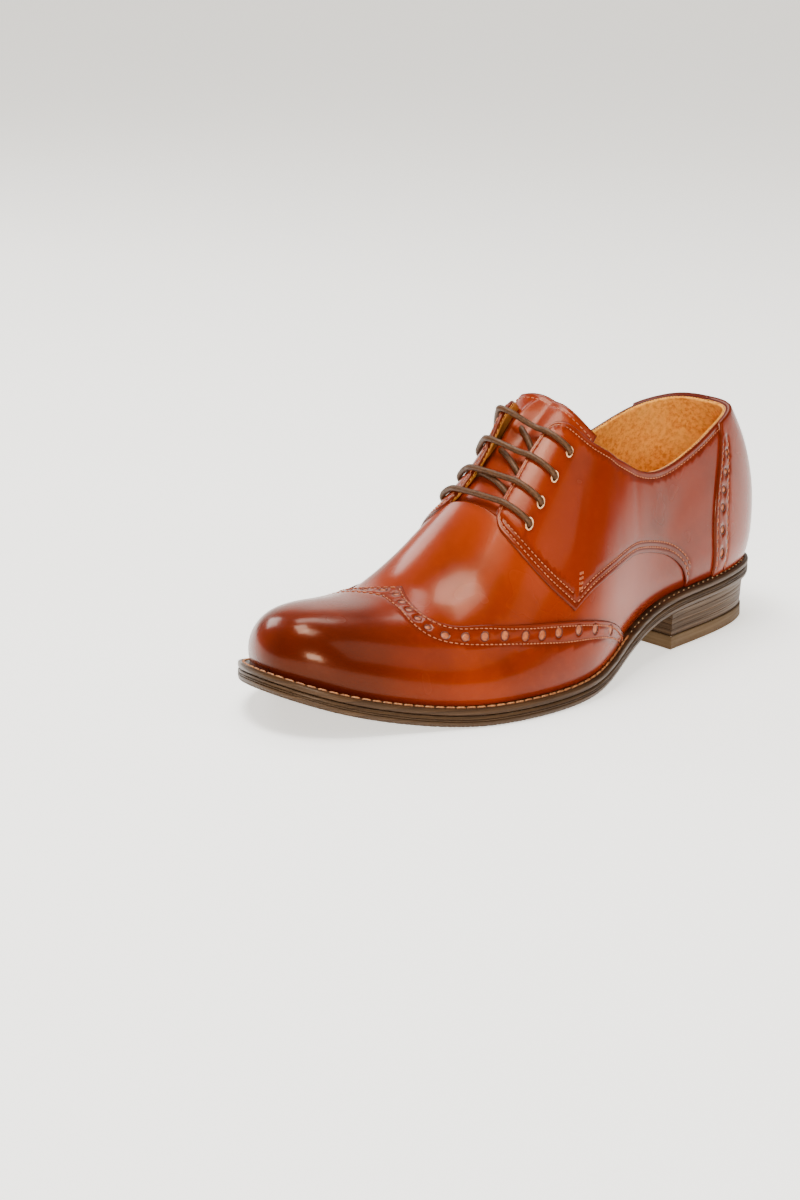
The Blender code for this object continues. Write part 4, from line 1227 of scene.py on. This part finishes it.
def build_stitches():
    """Every seam of the upper, laid in its groove."""
    runs = [
        seam_threads(ALL_WING_SEAMS, cap_height),
        seam_threads(ALL_QUARTER_SEAMS, quarter_height),
        seam_threads(ALL_STRIP_SEAMS, lowered(strip_height, 0.00016)),
    ]
    # a bar tack of three short rows where the quarter meets the vamp
    leaning = np.array([[0.55, 0.84], [-0.84, 0.55]])
    tack = []
    for side in (1, -1):
        for offset in (-0.0011, 0.0, 0.0011):
            row = to_pattern(*BAR_TACK, side) + np.array([[-0.0028, offset], [0.0028, offset]]) @ leaning
            tack.append(resample(row, 0.001, smooth=False))
    runs.append(seam_threads(tack, quarter_height, 0.0012, 0.0008, 0.0002))
    starts, ends, ups = (sum(groups, []) for groups in zip(*runs))
    stitches = capsules("upper_stitches", starts, ends, ups, THREAD_RADIUS, upper_thread)


def ring_at(loop, field, minor, around=6):
    """A small rolled ring round a punched hole."""
    flat = loop[:-1]
    centre = flat.mean(0)
    radius = np.linalg.norm(flat - centre, axis=1)[:, None]
    out = centre + (flat - centre) * (1 + 0.0005 / radius)
    base = lifted(flat, field(out))
    normal = last_normal(*from_pattern(flat))
    side = lifted(out, field(out)) - base
    side /= np.linalg.norm(side, axis=1)[:, None]
    spin = np.linspace(0, 2 * math.pi, around, endpoint=False)
    spoke = np.cos(spin)[None, :, None] * side[:, None] + np.sin(spin)[None, :, None] * normal[:, None]
    verts = base[:, None] + minor * spoke
    return verts.reshape(-1, 3), [(b, a, d, c) for a, b, c, d in ring_faces(len(flat), around, closed=True)]


def disc_at(loop, level, dome):
    """The shallow floor of a punched hole."""
    flat = loop[:-1]
    centre = flat.mean(0)
    sides = len(flat)
    rows = [centre[None]]
    levels = [level + dome]
    for share in (0.5, 0.85, 1.05):
        rows.append(centre + (flat - centre) * share)
        levels += [level + dome * (1 - share ** 2)] * sides
    verts = lifted(np.vstack(rows), np.array(levels))
    faces = [(0, 1 + i, 1 + (i + 1) % sides) for i in range(sides)]
    for ring in range(2):
        for i in range(sides):
            j = (i + 1) % sides
            a = 1 + ring * sides
            faces.append((a + i, a + sides + i, a + sides + j, a + j))
    return verts, [f[::-1] for f in faces]


def build_punches(cap_holes, strip_holes):
    shade_rings, floors = [], []
    for holes, field, level in ((cap_holes, cap_height, 0.0009), (strip_holes, strip_height, 0.0019)):
        for hole in holes:
            # each punched hole gets a rolled ring painted dark as painted shade of its edge
            shade_rings.append(ring_at(hole, lowered(field, 0.00034), 0.00022))
            floors.append(disc_at(hole, level, 0.00025))
    shade_ring_piece = make("punch_shade_rings", *merged(shade_rings), punch_shade_ring)
    floor_piece = make("punch_floors", *merged(floors), punch_floor)
    centres = to_pattern(*columns(EYELETS))
    eyelets = [ring_at(circle(centre, EYELET_RADIUS + 0.00010), lowered(quarter_height, 0.00030), 0.00045)
               for centre in both(centres)]
    eyelet_piece = make("eyelet_edges", *merged(eyelets), eyelet_rim)


# Lace
def build_laces():
    """Four bars on top, each going down through its two holes, and three slanting runs beneath."""
    over = QUARTER_STEP + LACE_RADIUS + 0.0001
    edge_places, edge_shares = columns(FACING_EDGE)
    for number, (place, share) in enumerate(EYELETS, 1):
        crossing = place + LACE_SLANT
        edge_share = np.interp(crossing, edge_places, edge_shares)
        runs = []
        for side in (1, -1):
            hole = to_pattern(place, share, side)
            edge = to_pattern(crossing, edge_share + 0.004, side)
            flat = hole + (edge - hole) * np.linspace(0, 1, 9)[:, None]
            near_hole = np.clip(1 - np.linalg.norm(flat - hole, axis=1) / 0.0040, 0, 1)
            height = over + facing_flare(flat) - 0.0009 * near_hole ** 2
            height[-1] -= 0.0004
            outwards = (hole - edge) / np.linalg.norm(hole - edge)
            dip = hole + outwards * np.array([[0.0004], [0.0005], [0.0002]])
            down = lifted(dip, facing_flare(dip) + np.array([-0.0030, -0.0008, 0.0012]))
            runs.append(np.vstack([down, lifted(flat[1:], height[1:])]))
        path = resample(np.vstack([runs[0], runs[1][::-1]]), CORD_PITCH)
        bar = make(f"lace_bar_cord_{number}", *tube(path, LACE_RADIUS), lace_material)
        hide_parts(f"lace_bar_{number}")
    under = -(VAMP_WALL + TONGUE_GAP) + LACE_RADIUS + LACE_GAP
    clear = (2.2 * LACE_RADIUS + LACE_GAP) / HALF_GIRTH.max()
    for number in range(1, len(EYELETS)):
        upper, lower = EYELETS[number - 1], EYELETS[number]
        start, end = upper[0] + 0.010, lower[0] - 0.006
        a = to_pattern(start, np.interp(start, edge_places, edge_shares) + clear, -1)
        b = to_pattern(end, np.interp(end, edge_places, edge_shares) + clear, 1)
        run = b - a
        share = np.linspace(-0.28, 1.28, 15)
        flat = a + run * share[:, None]
        sink = 0.0016 * np.clip(np.maximum(-share, share - 1) / 0.28, 0, 1)
        path = resample(lifted(flat, under - sink), CORD_PITCH)
        cross = make(f"lace_cross_cord_{number}", *tube(path, LACE_RADIUS), lace_material)
        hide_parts(f"lace_cross_{number}")


# Sole unit
def even_loop(loop, count):
    closed = np.vstack([loop, loop[:1]])
    return along_line(closed, np.linspace(0, path_length(closed)[-1], count, endpoint=False))


def sole_ring(inset, count=RING_POINTS):
    return even_loop(plan_outline(steps=260, inset=inset), count)


def filled(loop, height, pitch=0.007):
    """A face over a plan loop, following a height along the length."""
    points, faces = triangulated(loop, [], [], pitch)
    return to_frame(points[:, 0], points[:, 1], height(points[:, 1] / BODY_LENGTH)), faces


def ring_wall(loops, heights):
    """A wall through plan loops of equal count at heights along the length."""
    rings = [to_frame(loop[:, 0], loop[:, 1], height) for loop, height in zip(loops, heights)]
    return np.vstack(rings), ring_faces(len(rings), len(rings[0]))


def level_at(height):
    """A height that is the same along the whole length."""
    return lambda place: 0 * place + height


def sharpen(piece, degrees=35):
    piece.data.set_sharp_from_angle(angle=math.radians(degrees))
    return piece


# Edge profiles: share of the height, inset
OUTSOLE_PROFILE = (
    (0.00, 0.0013), (0.05, 0.0007), (0.10, 0.0004), (0.24, 0.0003), (0.28, 0.0001), (0.46, 0.0000),
    (0.50, 0.0001), (0.53, 0.0005), (0.57, 0.0005), (0.60, 0.0000), (0.66, 0.0000), (0.69, 0.0005),
    (0.73, 0.0005), (0.76, 0.0000), (0.92, 0.0001), (1.00, 0.0005),
)
WELT_PROFILE = ((0.00, 0.0006), (0.15, 0.0001), (0.40, 0.0), (0.70, 0.0), (0.90, 0.0003), (1.00, 0.0009))
LIFT_PROFILE = ((0.0, 0.0009), (0.05, 0.0003), (0.12, 0.0), (0.5, 0.0001), (0.94, 0.0002), (1.0, 0.0005))
# Stitch channel in the top of the welt: inset, height
WELT_CHANNEL = ((0.0014, 0.00005), (0.0018, 0.0), (0.0021, -0.0003), (0.0026, -0.0003), (0.0029, 0.0))


def build_outsole():
    loops, heights = [], []
    for share, inset in OUTSOLE_PROFILE:
        loop = sole_ring(inset)
        place = loop[:, 1] / BODY_LENGTH
        if share < 0.20:
            reach = path_length(np.vstack([loop, loop[:1]]))[:-1]
            notch = np.clip(np.sin(2 * math.pi * reach / TREAD_PITCH) * 2, -1, 1) * 0.5 + 0.5
            front = np.clip((place - 0.42) / 0.05, 0, 1)
            cut = 0.0007 * notch * front * (1 - share / 0.28)
            centre = np.array([0.0, 0.62 * BODY_LENGTH])
            inward = centre - loop
            loop = loop + inward / np.linalg.norm(inward, axis=1)[:, None] * cut[:, None]
        loops.append(loop)
        heights.append(sole_bottom(place) + share * OUTSOLE_THICKNESS)
    wall = ring_wall(loops, heights)
    low_verts, low_faces = filled(loops[0][::3], sole_bottom)
    top_verts, top_faces = filled(loops[-1][::3], lambda p: sole_bottom(p) + OUTSOLE_THICKNESS)
    verts, faces = merged([wall, (low_verts, low_faces), (top_verts, top_faces)])
    piece = sharpen(make("sole_leather", verts, faces, sole_finish), 50)
    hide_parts("outsole")


def welt_top(place):
    return sole_bottom(place) + SOLE_TOP


def build_welt():
    loops, heights = [], []
    for share, inset in WELT_PROFILE:
        loop = sole_ring(inset)
        place = loop[:, 1] / BODY_LENGTH
        loops.append(loop)
        heights.append(sole_bottom(place) + OUTSOLE_THICKNESS + GAP + share * WELT_THICKNESS)
    for inset, dip in WELT_CHANNEL:
        loop = sole_ring(inset)
        loops.append(loop)
        heights.append(welt_top(loop[:, 1] / BODY_LENGTH) + dip)
    inner = even_loop(plan_outline(-WELT_GRIP, 260), RING_POINTS)
    inner_top = welt_top(inner[:, 1] / BODY_LENGTH)
    loops += [inner, inner]
    heights += [inner_top, inner_top - WELT_THICKNESS]
    piece = sharpen(make("welt_strip", *ring_wall(loops, heights), welt_finish), 40)
    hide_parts("welt")


def welt_threads(loop, pitch, length, forward, sink):
    """Stitches round the welt: those of the forepart, or those behind it."""
    closed = np.vstack([loop, loop[:1]])
    whole = path_length(closed)[-1]
    count = int(whole / pitch)
    middle = (np.arange(count) + 0.5) * whole / count
    ends = []
    for offset in (-length / 2, 0.0, length / 2):
        p = along_line(closed, middle + offset)
        ends.append(to_frame(p[:, 0], p[:, 1], welt_top(p[:, 1] / BODY_LENGTH) + sink))
    place = (MIDDLE_LENGTH - ends[1][:, 1]) / BODY_LENGTH
    lateral_from, medial_from = LONG_STITCHES_FROM
    in_front = place > np.where(ends[1][:, 0] > 0, lateral_from, medial_from)
    kept = in_front if forward else ~in_front
    ups = np.tile((0.0, 0.0, 1.0), (len(middle), 1))
    return [ends[0][kept]], [ends[2][kept]], [ups[kept]]


def build_welt_stitches():
    """Long tan stitches round the forepart, and only their small ends along the waist and heel."""
    loop = sole_ring(WELT_SEAM_INSET)
    threads = welt_threads(loop, WELT_STITCH_PITCH, WELT_STITCH_LENGTH, True, -0.0001)
    long_piece = capsules("welt_stitches", *threads, WELT_THREAD_RADIUS, welt_thread, 8)
    threads = welt_threads(loop, WELT_DOT_PITCH, WELT_DOT_LENGTH, False, -0.00005)
    short_piece = capsules("welt_stitch_ends", *threads, WELT_DOT_RADIUS, dot_thread)


def heel_loop(inset, count=HEEL_POINTS):
    """The rear of the outline up to the straight breast, as a closed loop."""
    shape = plan_outline(HEEL_MARGIN - inset, 260)
    cut = HEEL_LENGTH - inset
    half = len(shape) // 2
    lateral = shape[:half + 1]
    medial = np.vstack([shape[:1], shape[:half - 1:-1]])
    arcs = []
    for line in (lateral, medial):
        end = np.interp(cut, line[:, 1], path_length(line))
        arcs.append(along_line(line, np.linspace(0, end, count)))
    share = np.linspace(0, 1, 60)[1:-1, None]
    breast = arcs[0][-1] + (arcs[1][-1] - arcs[0][-1]) * share
    return np.vstack([arcs[0], breast, arcs[1][:0:-1]])


def heel_slab(name, profile, low, high, material):
    """A slab in the plan of the heel between two heights, with the profile of its edge."""
    loops, heights = [], []
    for share, inset in profile:
        loop = heel_loop(inset)
        place = loop[:, 1] / BODY_LENGTH
        loops.append(loop)
        heights.append(low(place) + share * (high(place) - low(place)))
    parts = [ring_wall(loops, heights), filled(loops[0][::2], low), filled(loops[-1][::2], high)]
    return sharpen(make(name, *merged(parts), material))


def build_heel():
    """Stacked layers with fine joints, over the pale top lift."""
    rows = [(0.0, 0.0010), (0.02, 0.0007)]
    for layer in range(1, HEEL_LAYERS):
        share = layer / HEEL_LAYERS
        rows += [(share - 0.012, 0.0006), (share, 0.00085), (share + 0.012, 0.0006)]
    rows += [(0.985, 0.0001), (1.0, 0.0003)]
    profile = [(share, inset - 0.0005 * share) for share, inset in rows]
    stack = heel_slab("heel_layers", profile, level_at(TOP_LIFT_THICKNESS + GAP),
                      lowered(sole_bottom, GAP), stack_finish)
    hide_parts("heel_stack")
    lift = heel_slab("heel_tip", LIFT_PROFILE, level_at(0.0), level_at(TOP_LIFT_THICKNESS), lift_finish)
    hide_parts("top_lift")


def build_sock():
    """The lining over the insole."""
    seat = SOLE_TOP + GAP
    loop = even_loop(plan_outline(-INSOLE_INSET, 200), 400)
    place = loop[:, 1] / BODY_LENGTH
    tight = even_loop(plan_outline(-INSOLE_INSET - 0.0005, 200), 400)
    top = sole_bottom(place) + seat + INSOLE_THICKNESS
    wall = ring_wall([loop, loop, tight], [sole_bottom(place) + seat, top - 0.0005, top])
    face = filled(tight, lambda p: sole_bottom(p) + seat + INSOLE_THICKNESS, 0.004)
    low = filled(loop, lambda p: sole_bottom(p) + seat, 0.01)
    verts, faces = merged([wall, face, low])
    plain = {"rim": np.zeros(len(verts))}
    sock = sharpen(make("sock_lining_piece", verts, faces, sock_lining, values=plain), 40)
    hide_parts("insole")


# Floor and lights: the studio is brightest behind the shoe, as the photograph's backdrop is
FLOOR_HALF = 6.0
STUDIO_DARK = 0.32
STUDIO_BRIGHT = 1.6
STUDIO_BRIGHT_SIDE = (-0.70, 0.70, 0.0)
# name, position, target, size, watts
LIGHTS = (
    ("overhead", (-0.25, -0.35, 1.55), (0, 0, 0.05), (0.80, 0.48), 24),
    ("rear_overhead", (-0.62, 0.48, 1.45), (0, 0, 0.05), (0.95, 0.40), 10),
    ("front_window", (1.00, -1.12, 0.42), (0, -0.13, 0.04), (0.46, 0.32), 18),
    ("left_soft", (-1.45, -0.1, 0.85), (0, 0, 0.05), (0.6, 0.5), 9),
    ("right_soft", (1.5, 0.35, 1.3), (0, 0, 0.05), (1.2, 1.1), 9),
    ("inside_fill", (0.10, -0.25, 0.95), (0, 0.10, 0.08), (0.30, 0.30), 4),
)


def build_stage():
    size = FLOOR_HALF
    corners = [(-size, -size, 0), (size, -size, 0), (size, size, 0), (-size, size, 0)]
    floor = bpy.data.meshes.new("floor")
    floor.from_pydata(corners, [], [(0, 1, 2, 3)])
    made = Shader("floor_finish", 0.60, Specular_IOR_Level=0.2, Emission_Color=(1.0, 0.96, 0.88, 1.0),
                  Emission_Strength=1.1)
    made.color(made.mix(made.ranged(made.noise(3, 2), 0.3, 0.7), (0.93, 0.92, 0.88), (0.95, 0.94, 0.91)))
    floor.materials.append(made.material)
    piece = bpy.data.objects.new("floor", floor)
    bpy.context.scene.collection.objects.link(piece)


def add_light(name, position, target, size, power):
    data = bpy.data.lights.new(name, "AREA")
    data.shape = "RECTANGLE"
    data.size, data.size_y = size
    data.energy = power
    light = bpy.data.objects.new(name, data)
    light.location = position
    light.rotation_euler = (Vector(target) - Vector(position)).to_track_quat("-Z", "Y").to_euler()
    bpy.context.scene.collection.objects.link(light)


def build_lights():
    world = bpy.data.worlds.new("world")
    world.use_nodes = True
    tree = world.node_tree
    background = tree.nodes["Background"]
    direction = tree.nodes.new("ShaderNodeTexCoord").outputs["Generated"]
    towards = tree.nodes.new("ShaderNodeVectorMath")
    towards.operation = "DOT_PRODUCT"
    towards.inputs[1].default_value = STUDIO_BRIGHT_SIDE
    tree.links.new(direction, towards.inputs[0])
    blend = tree.nodes.new("ShaderNodeMapRange")
    blend.interpolation_type = "SMOOTHSTEP"
    tree.links.new(towards.outputs["Value"], blend.inputs[0])
    for k, number in enumerate((0.80, 0.96, STUDIO_DARK, STUDIO_BRIGHT), 1):
        blend.inputs[k].default_value = number
    tree.links.new(blend.outputs[0], background.inputs["Strength"])
    background.inputs["Color"].default_value = (1.0, 0.94, 0.86, 1.0)
    bpy.context.scene.world = world
    for row in LIGHTS:
        add_light(*row)


make_camera()
build_vamp()
build_quarters()
CAP_HOLES = build_cap()
STRIP_HOLE_LINES = build_strip()
build_linings()
build_tongue()
build_stitches()
build_punches(CAP_HOLES, STRIP_HOLE_LINES)
build_laces()
build_outsole()
build_welt()
build_welt_stitches()
build_heel()
build_sock()
build_stage()
build_lights()
